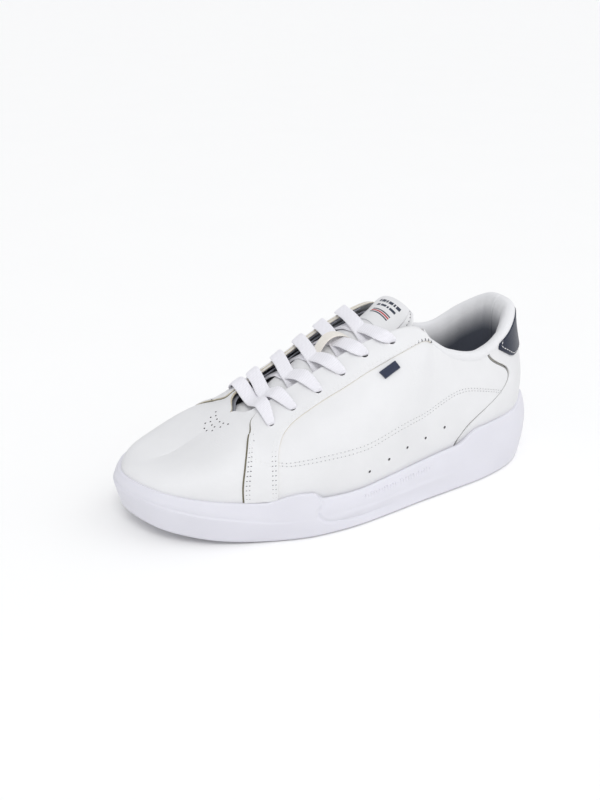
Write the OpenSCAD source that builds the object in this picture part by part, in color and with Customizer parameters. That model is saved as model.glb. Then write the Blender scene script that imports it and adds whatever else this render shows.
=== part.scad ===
// Low-cut court shoe, left foot: rubber cupsole, leather upper, padded collar and tongue, flat lace.
// +X points to the toe, +Y to the outer side and +Z up; the origin is on the ground, mid-length.

/* [Shoe] */
// Length of the cupsole, heel to toe
sole_l = 290; // [260:1:310]
// Width of the cupsole at the ball of the foot
ball_w = 112; // [98:1:118]
// Height of the collar at the back of the heel
collar_h = 106; // [92:1:116]

/* [Sole] */
// Height at which the cupsole's wall is widest
ridge_z = 16; // [12:1:20]
// Thickness of the cupsole's wall
wall_t = 4.3; // [3.5:0.1:4.5]
// How far the toe lifts off the ground
toe_spring = 12; // [4:1:16]
// Thickness of the tread blocks
tread_t = 1.4; // [1:0.1:2.5]

/* [Upper] */
// Thickness of the leather panels
leather_t = 1.2; // [0.8:0.1:1.4]
// How far the collar's padding stands inwards
collar_pad = 4.5; // [3:0.1:6]
// Width of the flat lace
lace_w = 8; // [6:0.5:9]
// Thickness of the flat lace
lace_t = 1.5; // [1:0.1:2]

/* [Hidden] */
$fn = 32;

// Scale of each direction against the size the stations below are drawn for
kx = sole_l / 290;
ky = ball_w / 112;
kz = collar_h / 106;

// Stations run from the heel's centre (0) to the toe's centre (toe_k), once round each side
toe_k = 13;
loop_n = 2 * toe_k;
sole_x = [-145, -135.5, -117, -89, -60, -33, -8, 17, 43, 68, 92, 114, 134, 145];
sole_outer_y = [1.5, 16.5, 32.5, 42.5, 47.5, 51.5, 56, 59.5, 59.5, 55.5, 49, 39, 22, -7];
sole_inner_y = [1.5, -14, -31, -38, -37, -36, -38, -43, -49, -53, -53, -48, -34, -7];
wall_z = [44, 41, 37, 33.5, 30, 26, 23, 22, 24.5, 26, 27, 28.5, 30, 31];
// Top edge of the upper: collar, then eyestays, then the ridge line of the vamp
edge_x = [-122, -119, -104, -83, -62, -47, -36, -4, 30, 64, 73, 89, 99, 104];
edge_w = [0, 15, 28, 32, 33, 33, 26, 21, 17.5, 14, 0, 0, 0, 0];
edge_z = [106, 104, 94, 84, 88, 98, 110, 103, 87, 69, 62.6, 53.3, 47.6, 45];
// Shape of each rib from the sole's wall to the top edge
base_lean = [2, 2, 4, 6, 8, 9, 10, 11, 11, 10, 8, 8, 8, 8];
base_pull = [.42, .42, .42, .4, .4, .42, .45, .48, .48, .45, .42, .40, .38, .38];
edge_pull = [.3, .3, .3, .3, .3, .3, .35, .4, .42, .48, .5, .5, .52, .52];
edge_turn = [0, 0, 0, 0, 0, 0, 0, 0, 0, 0, 8, 35, 70, 90];
edge_drop = [85, 85, 82, 80, 75, 60, 40, 38, 34, 24, 0, 0, 0, 0];
centre_y = [[-150, 2], [-60, 2], [40, 1], [110, -4], [150, -7]];

welt = 5;             // the upper's outer face stands this far inside the cupsole's outline
skirt = -0.25;        // t of the leather's lower edge, hidden inside the cupsole
lining_skirt = -0.17; // t of the linings' lower edge, above the lasting board
board_z = 15.4;       // underside of the lasting board
board_t = 1.4;
skirt_rise = 0.3;     // the leather's lower edge stands this far above the lasting board's underside
insole_t = 4;
floor_z = 5;          // floor inside the cupsole
gap = 0.2;            // clearance between neighbouring layers
flex_x = 72 * kx;     // where the cupsole's halves part and the forefoot bends
flex_gap = 0.4;
spring_from = 60 * kx;
ridge_slope = 0.45;   // how fast the vamp's ridge line falls towards the toe

// Depths below the upper's outer face
lining_t = 0.8;
lining_d = 3.4;
overlay_t = 1.2;

// ---------------------------------------------------------------- curves
function cubic(a, b, c, d, f) =
    0.5 * (2 * b + (c - a) * f + (2 * a - 5 * b + 4 * c - d) * f * f + (3 * b - a - 3 * c + d) * f * f * f);
function at(list, u) =
    let (n = len(list), v = u - n * floor(u / n), w = floor(v), i = w % n)
    cubic(list[(i + n - 1) % n], list[i], list[(i + 1) % n], list[(i + 2) % n], v - w);
function along(list, s) =
    let (n = len(list) - 1, i = min(n - 1, max(0, floor(s))))
    cubic(list[max(0, i - 1)], list[i], list[i + 1], list[min(n, i + 2)], s - i);
function ring(outer, inner) = [for (i = [0:loop_n - 1]) i <= toe_k ? outer[i] : inner[loop_n - i]];
function ease(a, b, x) = let (f = min(1, max(0, (x - a) / (b - a)))) f * f * (3 - 2 * f);
function mix(a, b, f) = a + (b - a) * f;
function unit(v) = v / norm(v);
function side(u) = let (v = u - loop_n * floor(u / loop_n)) v <= toe_k ? 1 : -1;
function station(u) = let (v = u - loop_n * floor(u / loop_n)) min(v, loop_n - v);

// ---------------------------------------------------------------- sole outline
ring_sole = [for (i = [0:loop_n - 1])
    [kx * ring(sole_x, sole_x)[i], ky * ring(sole_outer_y, sole_inner_y)[i]]];
ring_wall = kz * ring(wall_z, wall_z);
ring_edge = [for (i = [0:loop_n - 1])
    let (k = station(i), x = edge_x[k])
    [kx * x, ky * (lookup(x, centre_y) + side(i) * edge_w[k]), kz * edge_z[k]]];
ring_lean = ring(base_lean, base_lean);
ring_base_pull = ring(base_pull, base_pull);
ring_edge_pull = ring(edge_pull, edge_pull);
ring_turn = ring(edge_turn, edge_turn);
ring_drop = ring(edge_drop, edge_drop);

function outward(u) = let (d = unit(at(ring_sole, u + 0.01) - at(ring_sole, u - 0.01))) [-d[1], d[0]];
function inset(u, d) = at(ring_sole, u) - d * outward(u);
function lift(x) =
    toe_spring * pow(min(1, max(0, (x - spring_from) / (85 * kx))), 2)
    + pow(min(1, max(0, (-115 * kx - x) / (30 * kx))), 2);

// ---------------------------------------------------------------- the upper's surface
// rib(u) holds the four control points of the curve from the sole's wall to the top edge
function rib(u) =
    let (
        n = outward(u),
        p = inset(u, welt),
        base = [p[0], p[1], at(ring_wall, u)],
        top = at(ring_edge, u),
        reach = norm(top - base),
        lean = at(ring_lean, u),
        turn = at(ring_turn, u),
        drop = at(ring_drop, u),
        k = station(u),
        back = 90 * min(1, k / 3),
        flat = k < 3 ? [-cos(back), side(u) * sin(back), 0] : [0, side(u), 0],
        fore = unit([1, 0, -ridge_slope]),
        away = k < 9.5 ? flat : cos(turn) * flat + sin(turn) * fore,
        down = away * cos(drop) + [0, 0, -1] * sin(drop)
    )
    [
        base,
        base + at(ring_base_pull, u) * reach * [n[0] * sin(lean), n[1] * sin(lean), cos(lean)],
        top + at(ring_edge_pull, u) * reach * down,
        top
    ];
function bezier(r, t) =
    let (m = 1 - t) m * m * m * r[0] + 3 * m * m * t * r[1] + 3 * m * t * t * r[2] + t * t * t * r[3];
function face_at(u, t) =
    let (r = rib(u))
    t >= 0 ? bezier(r, t) : r[0] + [0, 0, (t / -skirt) * (r[0][2] - board_z - skirt_rise)];
ridge_n = unit([ridge_slope, 0, 1]);
function face_n(u, t) =
    let (
        v = min(t, 0.95),
        e = 0.01,
        du = face_at(u + e, v) - face_at(u - e, v),
        dt = face_at(u, v + e) - face_at(u, v - e),
        n = unit(cross(dt, du)),
        k = station(u)
    )
    k < 9.4 ? n : unit(mix(n, ridge_n, ease(0.86, 1, t) * ease(9.4, 10, k)));
function on_upper(u, t, d) = face_at(u, t) + d * face_n(u, t);

// The padding's extra depth behind the collar
function pad(u, t) =
    let (k = u > toe_k ? loop_n - u : abs(u))
    collar_pad * ease(0.60, 0.80, t) * (1 - ease(4.4, 5.6, k));

// ---------------------------------------------------------------- solids
// A closed sheet over a grid of [u, t] cells, from depth lo to depth hi; pads follows the collar's padding
module sheet(grid, lo, hi, lo_pad = 0, hi_pad = 0) {
    m = len(grid);
    n = len(grid[0]);
    skin = function (d, w) [for (row = grid) for (c = row) on_upper(c[0], c[1], d - w * pad(c[0], c[1]))];
    points = concat(skin(hi, hi_pad), skin(lo, lo_pad));
    s = m * n;
    faces = concat(
        [for (i = [0:m - 2]) for (j = [0:n - 2]) [i * n + j, i * n + j + 1, (i + 1) * n + j + 1]],
        [for (i = [0:m - 2]) for (j = [0:n - 2]) [i * n + j, (i + 1) * n + j + 1, (i + 1) * n + j]],
        [for (i = [0:m - 2]) for (j = [0:n - 2]) [s + i * n + j, s + (i + 1) * n + j + 1, s + i * n + j + 1]],
        [for (i = [0:m - 2]) for (j = [0:n - 2])
            [s + i * n + j, s + (i + 1) * n + j, s + (i + 1) * n + j + 1]],
        [for (j = [0:n - 2]) [j, s + j, s + j + 1, j + 1]],
        [for (j = [0:n - 2]) let (q = (m - 1) * n + j) [q, q + 1, s + q + 1, s + q]],
        [for (i = [0:m - 2]) let (q = i * n) [q, q + n, s + q + n, s + q]],
        [for (i = [0:m - 2]) let (q = i * n + n - 1) [q, s + q, s + q + n, q + n]]
    );
    polyhedron(points, faces, convexity = 8);
}

// Both halves of a panel round the toe as one solid: rows run from u = first(t) to the toe's centre, and the
// columns climb the outer side, meet on the ridge line and go down the inner side
module toe_sheet(first, rows, throat_rows, cols, low, lo, hi) {
    n = cols + 1;
    w = 2 * n;
    u_at = function (i, t) i <= throat_rows
        ? mix(first(t), 10, i / throat_rows)
        : mix(10, toe_k, (i - throat_rows) / (rows - throat_rows));
    t_at = function (c) c < n ? mix(low, 1, c / cols) : mix(1, low, (c - n) / cols);
    skin = function (d) [for (i = [0:rows]) for (c = [0:w - 1])
        let (t = t_at(c), u = u_at(i, t)) on_upper(c < n ? u : loop_n - u, t, d)];
    s = (rows + 1) * w;
    // the two sides share their points on the ridge line and up the toe's centre
    id = function (i, c)
        let (
            c2 = i == rows ? min(c, w - 1 - c) : c,
            c3 = i >= throat_rows && c2 == n ? n - 1 : c2
        )
        i * w + c3;
    cells = [for (i = [0:rows - 1]) for (c = [0:w - 2]) if (c != n - 1) [i, c]];
    quads = concat(
        [for (q = cells) [id(q[0], q[1]), id(q[0], q[1] + 1), id(q[0] + 1, q[1] + 1), id(q[0] + 1, q[1])]],
        [for (q = cells) [s + id(q[0], q[1]), s + id(q[0] + 1, q[1]), s + id(q[0] + 1, q[1] + 1),
            s + id(q[0], q[1] + 1)]]
    );
    rim = function (a, b) [a, s + a, s + b, b];
    walls = concat(
        [for (c = [0:w - 2]) if (c != n - 1) rim(id(0, c), id(0, c + 1))],
        [for (i = [0:rows - 1]) rim(id(i + 1, 0), id(i, 0))],
        [for (i = [0:rows - 1]) rim(id(i, w - 1), id(i + 1, w - 1))],
        [for (i = [0:throat_rows - 1]) rim(id(i, n - 1), id(i + 1, n - 1))],
        [for (i = [0:throat_rows - 1]) rim(id(i + 1, n), id(i, n))]
    );
    faces = [for (q = concat(quads, walls)) each let (a = q[0], b = q[1], c = q[2], d = q[3])
        concat(a == b || b == c || a == c ? [] : [[a, b, c]], a == c || c == d || a == d ? [] : [[a, c, d]])];
    polyhedron(concat(skin(hi), skin(lo)), faces, convexity = 8);
}

// A stack of loops that follow the sole's outline: rings = [[inset, z(u, p)], ...], closed at both ends.
// part = 0 is the whole loop, -1 the rear half and 1 the front half, cut square at the flex line
steps = 40;
cut_u = 9.17;  // station of the flex line
cut_pull = 0.3; // points beside the cut stay at least this far behind it
function half_us(part) =
    part == 0 ? [for (i = [0:steps - 1]) loop_n * i / steps]
    : part < 0 ? [for (i = [0:36]) mix(-cut_u, cut_u, i / 36)]
    : [for (i = [0:20]) mix(cut_u, loop_n - cut_u, i / 20)];
module stack(rings, part = 0) {
    us = half_us(part);
    n = len(us);
    m = len(rings);
    cut = flex_x + part * flex_gap / 2;
    points = [for (r = rings) for (j = [0:n - 1])
        let (
            p = inset(us[j], r[0]),
            ended = part != 0 && (j == 0 || j == n - 1),
            x = ended ? cut
                : part < 0 ? min(p[0], cut - cut_pull)
                : part > 0 ? max(p[0], cut + cut_pull) : p[0]
        )
        [x, p[1], r[1](us[j], x)]];
    last = part == 0 ? n - 1 : n - 2;
    walls = [for (i = [0:m - 2]) for (j = [0:last]) let (a = i * n + j, b = i * n + (j + 1) % n)
        each [[a, a + n, b + n], [a, b + n, b]]];
    strips = floor((n - 1) / 2);
    // cross strips close each end; a whole loop starts at the heel's centre, a half at its cut
    low = part == 0 ? 1 : 0;
    pair = function (j) part == 0 ? n - j : n - 1 - j;
    cap = [for (j = [low:strips - 1]) let (a = j, b = j + 1, c = pair(j + 1), d = pair(j))
        each concat([[a, b, d]], b == c ? [] : [[b, c, d]])];
    tip = part == 0 ? concat([[0, 1, n - 1]], n % 2 == 0 ? [[strips, strips + 1, strips + 2]] : []) : [];
    top = (m - 1) * n;
    ends = concat(cap, tip);
    cut_face = part == 0 ? [] : [concat(
        [for (i = [0:m - 1]) i * n + n - 1],
        [for (i = [m - 1:-1:0]) i * n]
    )];
    faces = concat(walls, ends, [for (f = ends) [top + f[2], top + f[1], top + f[0]]], cut_face);
    polyhedron(points, faces, convexity = 8);
}

// A strap swept along points, each [place, flat normal, width, thickness]
module strap(list) {
    n = len(list);
    points = [for (i = [0:n - 1])
        let (
            p = list[i][0],
            run = unit(list[min(n - 1, i + 1)][0] - list[max(0, i - 1)][0]),
            over = unit(cross(run, list[i][1])),
            up = cross(over, run),
            w = list[i][2] / 2,
            h = list[i][3] / 2
        )
        each [p - w * over - h * up, p + w * over - h * up, p + w * over + h * up, p - w * over + h * up]];
    faces = concat(
        [for (i = [0:n - 2]) for (k = [0:3]) [4 * i + k, 4 * i + 4 + k, 4 * i + 4 + (k + 1) % 4]],
        [for (i = [0:n - 2]) for (k = [0:3]) [4 * i + k, 4 * i + 4 + (k + 1) % 4, 4 * i + (k + 1) % 4]],
        [[0, 1, 2, 3], [for (k = [3:-1:0]) 4 * n - 4 + k]]
    );
    polyhedron(points, faces, convexity = 10);
}

// ---------------------------------------------------------------- sole
function wall_top(u) = at(ring_wall, u);
cup_rings = [
    [3.2, function (u, x) lift(x) + tread_t + (x > flex_x ? 2 * gap : 0)],
    [1.2, function (u, x) lift(x) + tread_t + 3],
    [0, function (u, x) max(ridge_z, lift(x) + 10)],
    [0.4, function (u, x) wall_top(u) - 3],
    [1.4, function (u, x) wall_top(u)],
    [3.6, function (u, x) wall_top(u)],
    [wall_t, function (u, x) wall_top(u) - 1.2],
    [wall_t + 0.2, function (u, x) floor_z + lift(x)]
];
foam_rings = [
    [wall_t + 0.8, function (u, x) floor_z + lift(x) + gap],
    [wall_t + 0.8, function (u, x) board_z - gap]
];
module cupsole_rear() { color("lavender") stack(cup_rings, -1); }
module cupsole_front() { color("lavender") stack(cup_rings, 1); }
module midsole_rear() { color("whitesmoke") stack(foam_rings, -1); }
module midsole_front() { color("whitesmoke") stack(foam_rings, 1); }

// Flat tread blocks: a grid of bars from the heel to the ball, cut to the sole's outline
bar_pitch = 13;
bar_w = 9;
bar_from = -110;
bar_to = 56;
tread_in = 9;
bar_taper = 2;
module tread_rear() {
    color("gainsboro")
    for (x = [bar_from:bar_pitch:bar_to]) {
        x0 = x * kx;
        y_hi = lookup(x, [for (i = [0:toe_k]) [sole_x[i], sole_outer_y[i]]]) * ky - tread_in;
        y_lo = lookup(x, [for (i = [0:toe_k]) [sole_x[i], sole_inner_y[i]]]) * ky + tread_in;
        x1 = x0 + bar_w;
        linear_extrude(tread_t)
        polygon([[x0, y_lo], [x1, y_lo + bar_taper], [x1, y_hi - bar_taper], [x0, y_hi]]);
    }
}
module tread_front() {
    color("gainsboro")
    stack([
        [tread_in, function (u, x) lift(x)],
        [tread_in, function (u, x) lift(x) + tread_t]
    ], 1);
}
module lasting_board() {
    color("wheat")
    stack([[6.6, function (u, x) board_z], [6.6, function (u, x) board_z + board_t]]);
}
module insole() {
    color("lightsteelblue")
    stack([
        [10.4, function (u, x) board_z + board_t + gap],
        [10.0, function (u, x) board_z + board_t + gap + insole_t - 0.8],
        [10.8, function (u, x) board_z + board_t + gap + insole_t]
    ]);
}

// ---------------------------------------------------------------- panel outlines, as [u, t] on the outer side
// Butt joint of vamp and quarter, hidden under the side band
joint_line = [[-0.3, 9.02], [0, 9.05], [0.3, 9.1], [0.6, 9.05], [0.8, 8.9], [1, 8.75]];
// Seam between quarter and heel panel
heel_line = [[-0.3, 4.1], [0, 3.95], [0.15, 3.66], [0.27, 3.1], [0.36, 2.4], [0.46, 2.16], [0.6, 2.26],
    [0.87, 2.7], [1, 2.85]];
band_front = [[9.75, 0.012], [9.77, 0.15], [9.75, 0.3], [9.7, 0.5], [9.6, 0.66], [9.4, 0.78], [9.17, 0.9],
    [8.7, 0.985], [8.2, 0.99], [7.7, 0.99], [7.2, 0.99], [6.7, 0.99], [6.25, 0.985], [5.9, 0.97], [5.5, 0.975]];
band_rear = [[8.95, 0.012], [8.95, 0.14], [8.93, 0.27], [8.87, 0.44], [8.77, 0.57], [8.64, 0.66], [8.45, 0.715],
    [8.2, 0.74], [7.9, 0.76], [7.5, 0.775], [7.1, 0.8], [6.7, 0.82], [6.3, 0.845], [5.9, 0.885], [5.35, 0.955]];
eyelets = [[8.8, .8], [8.4, .83], [7.95, .85], [7.5, .88], [7.05, .92], [6.55, .93]];
eyelet_r = 2.2;
tab_line = [[0.57, 1.1], [0.63, 1.65], [0.72, 1.98], [0.83, 2.2], [0.93, 2.38], [1, 2.36]];

// Half the gap left at the panels' butt joints, in u
heel_gap = 0.04;
joint_gap = 0.03;

function mirror_u(grid) = [for (i = [len(grid) - 1:-1:0]) [for (c = grid[i]) [loop_n - c[0], c[1]]]];
function span(t0, t1, n) = [for (i = [0:n]) mix(t0, t1, i / n)];
function quarter_grid(m, ts) =
    [for (i = [0:m]) [for (t = ts)
        [mix(lookup(t, heel_line) + heel_gap, lookup(t, joint_line) - joint_gap, i / m), t]]];
function band_grid(m, n) =
    let (k = len(band_front) - 1)
    [for (i = [m:-1:0]) [for (j = [0:n])
        mix(along(band_rear, k * i / m), along(band_front, k * i / m), j / n)]];
module eyelet_holes(flip) {
    for (e = eyelets) {
        u = flip ? loop_n - e[0] : e[0];
        p = face_at(u, e[1]);
        n = face_n(u, e[1]);
        translate(p) rotate([0, acos(n[2]), atan2(n[1], n[0])]) cylinder(r = eyelet_r, h = 16, center = true);
    }
}
wall_ts = concat([skirt], span(0, 1, 14));
module quarter(flip) {
    grid = quarter_grid(14, wall_ts);
    difference() {
        sheet(flip ? mirror_u(grid) : grid, -leather_t, 0);
        eyelet_holes(flip);
    }
}
module lateral_quarter() { color("white") quarter(false); }
module medial_quarter() { color("white") quarter(true); }
module eyestay(flip) {
    grid = band_grid(26, 4);
    difference() {
        sheet(flip ? mirror_u(grid) : grid, 2 * gap, gap + overlay_t);
        eyelet_holes(flip);
    }
}
module lateral_eyestay() { color("white") eyestay(false); }
module medial_eyestay() { color("white") eyestay(true); }
// A narrow reinforcing strip behind each row of eyelets
strip_h = 0.055;
strip_t = 0.8;
strip_over = 0.22; // how far it reaches past the end eyelets, in u
module eyelet_strip(flip) {
    grid = [for (i = [0:12]) let (e = along(eyelets, 5 * i / 12), u = e[0] + strip_over * (1 - i / 6))
        [for (j = [0:2]) [u, e[1] + strip_h * (j - 1)]]];
    rows = [for (i = [12:-1:0]) grid[i]];
    difference() {
        sheet(flip ? mirror_u(rows) : rows, -leather_t - gap - strip_t, -leather_t - gap);
        eyelet_holes(flip);
    }
}
module lateral_eyelet_strip() { color("gainsboro") eyelet_strip(false); }
module medial_eyelet_strip() { color("gainsboro") eyelet_strip(true); }
module vamp() {
    color("white")
    toe_sheet(function (t) lookup(t, joint_line) + joint_gap, 18, 6, 14, skirt, -leather_t, 0);
}
module vamp_lining() {
    color("gainsboro")
    toe_sheet(function (t) lookup(t, joint_line) + joint_gap, 14, 4, 10,
        lining_skirt, -lining_d - lining_t, -lining_d);
}
module toe_puff() {
    grid = [for (i = [0:12]) [for (j = [0:5]) [mix(11.2, 14.8, i / 12), mix(-0.2, 0.55, j / 5)]]];
    color("wheat") sheet(grid, -leather_t - gap - 1, -leather_t - gap);
}
module heel_panel() {
    grid = [for (i = [0:18]) [for (t = wall_ts) [mix(-1, 1, i / 18) * (lookup(t, heel_line) - heel_gap), t]]];
    color("white") sheet(grid, -leather_t, 0);
}
module heel_tab() {
    grid = [for (i = [0:14]) [for (t = span(0.57, 1, 9)) [mix(-1, 1, i / 14) * lookup(t, tab_line), t]]];
    color("midnightblue") sheet(grid, 6 * gap, 6 * gap + 0.8);
}
module heel_counter() {
    grid = [for (i = [0:14]) [for (t = span(-0.2, 0.56, 6)) [mix(-3.2, 3.2, i / 14), t]]];
    color("wheat") sheet(grid, -leather_t - 3 * gap - 1, -leather_t - 3 * gap);
}
module quarter_lining() {
    end = 8.55;
    ts = concat([lining_skirt], span(0, 0.95, 10));
    grid = [for (i = [0:40]) [for (t = ts) [mix(-end, end, i / 40), t]]];
    difference() {
        color("slategray") sheet(grid, -lining_d - lining_t, -lining_d, 1, 1);
        eyelet_holes(false);
        eyelet_holes(true);
    }
}
module collar_foam() {
    grid = [for (i = [0:24]) [for (t = span(0.64, 0.93, 5)) [mix(-5.1, 5.1, i / 24), t]]];
    color("lightyellow") sheet(grid, -lining_d + gap, -leather_t - gap, 1, 0);
}
// The collar's rolled edge: a round section swept along the top edge
roll_end = 5.35;
roll_r = 3;
module collar_roll() {
    m = 34;
    k = 10;
    us = [for (i = [0:m]) mix(-roll_end, roll_end, i / m)];
    mid = [for (u = us) at(ring_edge, u) - (roll_r + leather_t + 2 * gap) * face_n(u, 0.95) + [0, 0, 1]];
    points = [for (i = [0:m]) for (j = [0:k - 1])
        let (
            run = unit(mid[min(m, i + 1)] - mid[max(0, i - 1)]),
            across = unit(cross(run, [0, 0, 1])),
            up = cross(across, run),
            r = roll_r * mix(0.5, 1, ease(0, 3, min(i, m - i)))
        )
        mid[i] + r * (cos(360 * j / k) * across + sin(360 * j / k) * up)];
    color("white")
    polyhedron(points, concat(
        [for (i = [0:m - 1]) for (j = [0:k - 1]) [i * k + j, i * k + (j + 1) % k, (i + 1) * k + (j + 1) % k]],
        [for (i = [0:m - 1]) for (j = [0:k - 1]) [i * k + j, (i + 1) * k + (j + 1) % k, (i + 1) * k + j]],
        [[for (j = [k - 1:-1:0]) j], [for (j = [0:k - 1]) m * k + j]]
    ), convexity = 6);
}

// ---------------------------------------------------------------- tongue
// Centre line of the tongue's outer face, [x, z], from the throat to its free end, and its half width
tongue_x = [70, 56, 40, 22, 6, -8, -20, -30, -37, -41];
tongue_z = [55, 66, 77.5, 88, 95.8, 101.5, 106.2, 111, 114.6, 115.4];
tongue_w = [10, 13.5, 17, 20.5, 24, 25, 25, 24.5, 23, 16];
tongue_drop = [3, 4.5, 7, 9.3, 9.8, 10, 12.5, 11, 7, 4];
tongue_n = len(tongue_x) - 1;
function tongue_at(s, v, d) =
    let (
        x = kx * along(tongue_x, s),
        z = kz * along(tongue_z, s),
        e = 0.02,
        dx = kx * (along(tongue_x, s + e) - along(tongue_x, s - e)),
        dz = kz * (along(tongue_z, s + e) - along(tongue_z, s - e)),
        n = unit([dz, 0, -dx]),
        y = ky * (lookup(x / kx, centre_y) + v * along(tongue_w, s)),
        tilt = v * 0.45
    )
    [x, y, z - kz * v * v * along(tongue_drop, s)] + d * unit(n + [0, tilt, 0]);
module tongue_sheet(lo, hi, reach, s0, s1, m, n) {
    points = [for (d = [hi, lo]) for (i = [0:m]) for (j = [0:n])
        tongue_at(mix(s0, s1, i / m), reach * (2 * j / n - 1), d)];
    w = n + 1;
    s = (m + 1) * w;
    quads = concat(
        [for (i = [0:m - 1]) for (j = [0:n - 1])
            [i * w + j, i * w + j + 1, (i + 1) * w + j + 1, (i + 1) * w + j]],
        [for (i = [0:m - 1]) for (j = [0:n - 1])
            [s + i * w + j, s + (i + 1) * w + j, s + (i + 1) * w + j + 1, s + i * w + j + 1]],
        [for (j = [0:n - 1]) [j, s + j, s + j + 1, j + 1]],
        [for (j = [0:n - 1]) let (q = m * w + j) [q, q + 1, s + q + 1, s + q]],
        [for (i = [0:m - 1]) let (q = i * w) [q, q + w, s + q + w, s + q]],
        [for (i = [0:m - 1]) let (q = i * w + n) [q, s + q, s + q + w, q + w]]
    );
    polyhedron(points, [for (q = quads) each [[q[0], q[1], q[2]], [q[0], q[2], q[3]]]], convexity = 6);
}
module tongue_skin() { color("white") tongue_sheet(-1.2, 0, 1, 0.3, tongue_n, 22, 10); }
module tongue_foam() { color("lightyellow") tongue_sheet(-5.6, -1.4, 0.92, 0.5, tongue_n - 0.3, 16, 8); }
module tongue_lining() { color("gainsboro") tongue_sheet(-6.6, -5.8, 0.97, 0.4, tongue_n - 0.15, 16, 8); }
module tongue_label() { color("white") tongue_sheet(0.15, 0.6, 0.72, 6.15, 8.55, 5, 6); }
// A narrow webbing loop on the tongue that holds one run of the lace
module lace_keeper() {
    lo = 3.45;
    hi = 4.75;
    height = 7.8;
    width = 8;
    thick = 0.9;
    off_centre = 0.12;
    list = [for (i = [0:12]) let (f = i / 12, rise = sin(180 * f))
        [tongue_at(mix(lo, hi, f), off_centre, thick + height * rise), [0.45 * cos(180 * f), 0, 1], width, thick]];
    color("antiquewhite") strap(list);
}
module side_tab() {
    us = [6.42, 6.78];
    ts = [0.725, 0.80];
    base = overlay_t + 2 * gap;
    grid = [for (i = [0:5]) [for (j = [0:3]) [mix(us[0], us[1], i / 5), mix(ts[0], ts[1], j / 3)]]];
    color("midnightblue") sheet(grid, base, base + 0.9);
}

// ---------------------------------------------------------------- lace
// Every entry is [x, y, z, the flat side's normal, width, thickness]
top_d = gap + overlay_t + 1.3;
under_d = -lining_d - lining_t - 1.8;
hole_w = 3.6;
over_h = 4.6;
low_h = 2.4;
bar_h = 4.6;
function spot(p, n, w, t) = [p[0], p[1], p[2], n[0], n[1], n[2], w, t];
function eye_u(i, flip) = flip ? loop_n - eyelets[i][0] : eyelets[i][0];
function eye_n(i, flip) = face_n(eye_u(i, flip), eyelets[i][1]);
// Direction on the surface from an eyelet up to the edge
function eye_g(i, flip) =
    let (u = eye_u(i, flip), t = eyelets[i][1])
    unit(face_at(u, t + 0.03) - face_at(u, t - 0.03));
function eye_spot(i, flip, d, n, w) = spot(on_upper(eye_u(i, flip), eyelets[i][1], d), n, w, lace_t);
function edge_spot(i, flip, aim, d, s) =
    let (k = mix(eyelets[i][0], aim, 0.3), u = flip ? loop_n - k : k)
    spot(on_upper(u, 0.985, d), s * face_n(u, 0.985), lace_w, lace_t);
function crest_spot(a, b, h, s) =
    let (
        m = 0.25 * (on_upper(eye_u(a, false), 0.9, 0) + on_upper(eye_u(b, false), 0.9, 0)
            + on_upper(eye_u(a, true), 0.9, 0) + on_upper(eye_u(b, true), 0.9, 0)),
        z = lookup(-m[0] / kx, [for (i = [0:tongue_n]) [-tongue_x[i], tongue_z[i]]])
    )
    spot([m[0], m[1], kz * z + h], s * [0.42, 0, 0.91], lace_w, lace_t);
// The strand bows up a little between two spots, over the tongue's crown
bow = 1.2;
function hump(a, b) = [a, 0.5 * (a + b) + [0, 0, bow, 0, 0, 0, 0, 0], b];
// From outside the eyelet down through it, ending inside
function into_hole(i, flip, s) =
    let (n = eye_n(i, flip), g = eye_g(i, flip))
    [
        eye_spot(i, flip, top_d - 0.4, s * (n - 0.8 * g), hole_w + 1.4),
        eye_spot(i, flip, -0.6, -s * g, hole_w),
        eye_spot(i, flip, under_d + 1.6, -s * (g + 0.5 * n), hole_w)
    ];
// One run: from inside eyelet a, under the edge, over the tongue, over the other edge, into eyelet b
function run_of(a, b, flip, h, s) = concat(
    hump(edge_spot(a, flip, eyelets[b][0], under_d - 0.3, s), crest_spot(a, b, h, s)),
    [edge_spot(b, !flip, eyelets[a][0], top_d + 0.7, s)],
    into_hole(b, !flip, s)
);
// Runs from the first pair of eyelets to the last, changing sides at every run
function chain(flip) = [for (k = [0:len(eyelets) - 2])
    let (even = k % 2 == 0)
    each run_of(k, k + 1, even ? flip : !flip, even == flip ? low_h : over_h, even ? 1 : -1)];
function backwards(list) = [for (i = [len(list) - 1:-1:0]) list[i]];
// The ends are tucked down the inside of the quarters, as [u, t, depth]
tail_route = [[6.5, 0.80, -9.5], [6.75, 0.69, -9], [7.3, 0.62, -8.5], [7.9, 0.585, -8], [8.35, 0.55, -8.3],
    [8.42, 0.50, -9.3], [8.1, 0.46, -10.3], [7.5, 0.46, -10.3], [6.9, 0.46, -10.3], [6.4, 0.46, -10]];
function tail(flip) = [for (r = tail_route)
    let (u = flip ? loop_n - r[0] : r[0])
    spot(on_upper(u, r[1], r[2]), -face_n(u, r[1]), lace_w - 1, lace_t)];
bar = concat(
    backwards(into_hole(0, false, -1)),
    [edge_spot(0, false, eyelets[0][0], top_d + 0.7, -1), crest_spot(0, 0, bar_h, -1),
        edge_spot(0, true, eyelets[0][0], top_d + 0.7, -1)],
    into_hole(0, true, -1)
);
lace_route = concat(
    backwards(concat(chain(false), tail(true))),
    bar,
    chain(true),
    tail(false)
);
lace_fine = 3;
function lace_at(s) = along(lace_route, s);
module lace() {
    m = (len(lace_route) - 1) * lace_fine;
    color("white")
    strap([for (i = [0:m]) let (q = lace_at(i / lace_fine)) [[q[0], q[1], q[2]], [q[3], q[4], q[5]], q[6], q[7]]]);
}
aglet_l = 18;
aglet_r = 1.7;
aglet_gap = 0.3;
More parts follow.
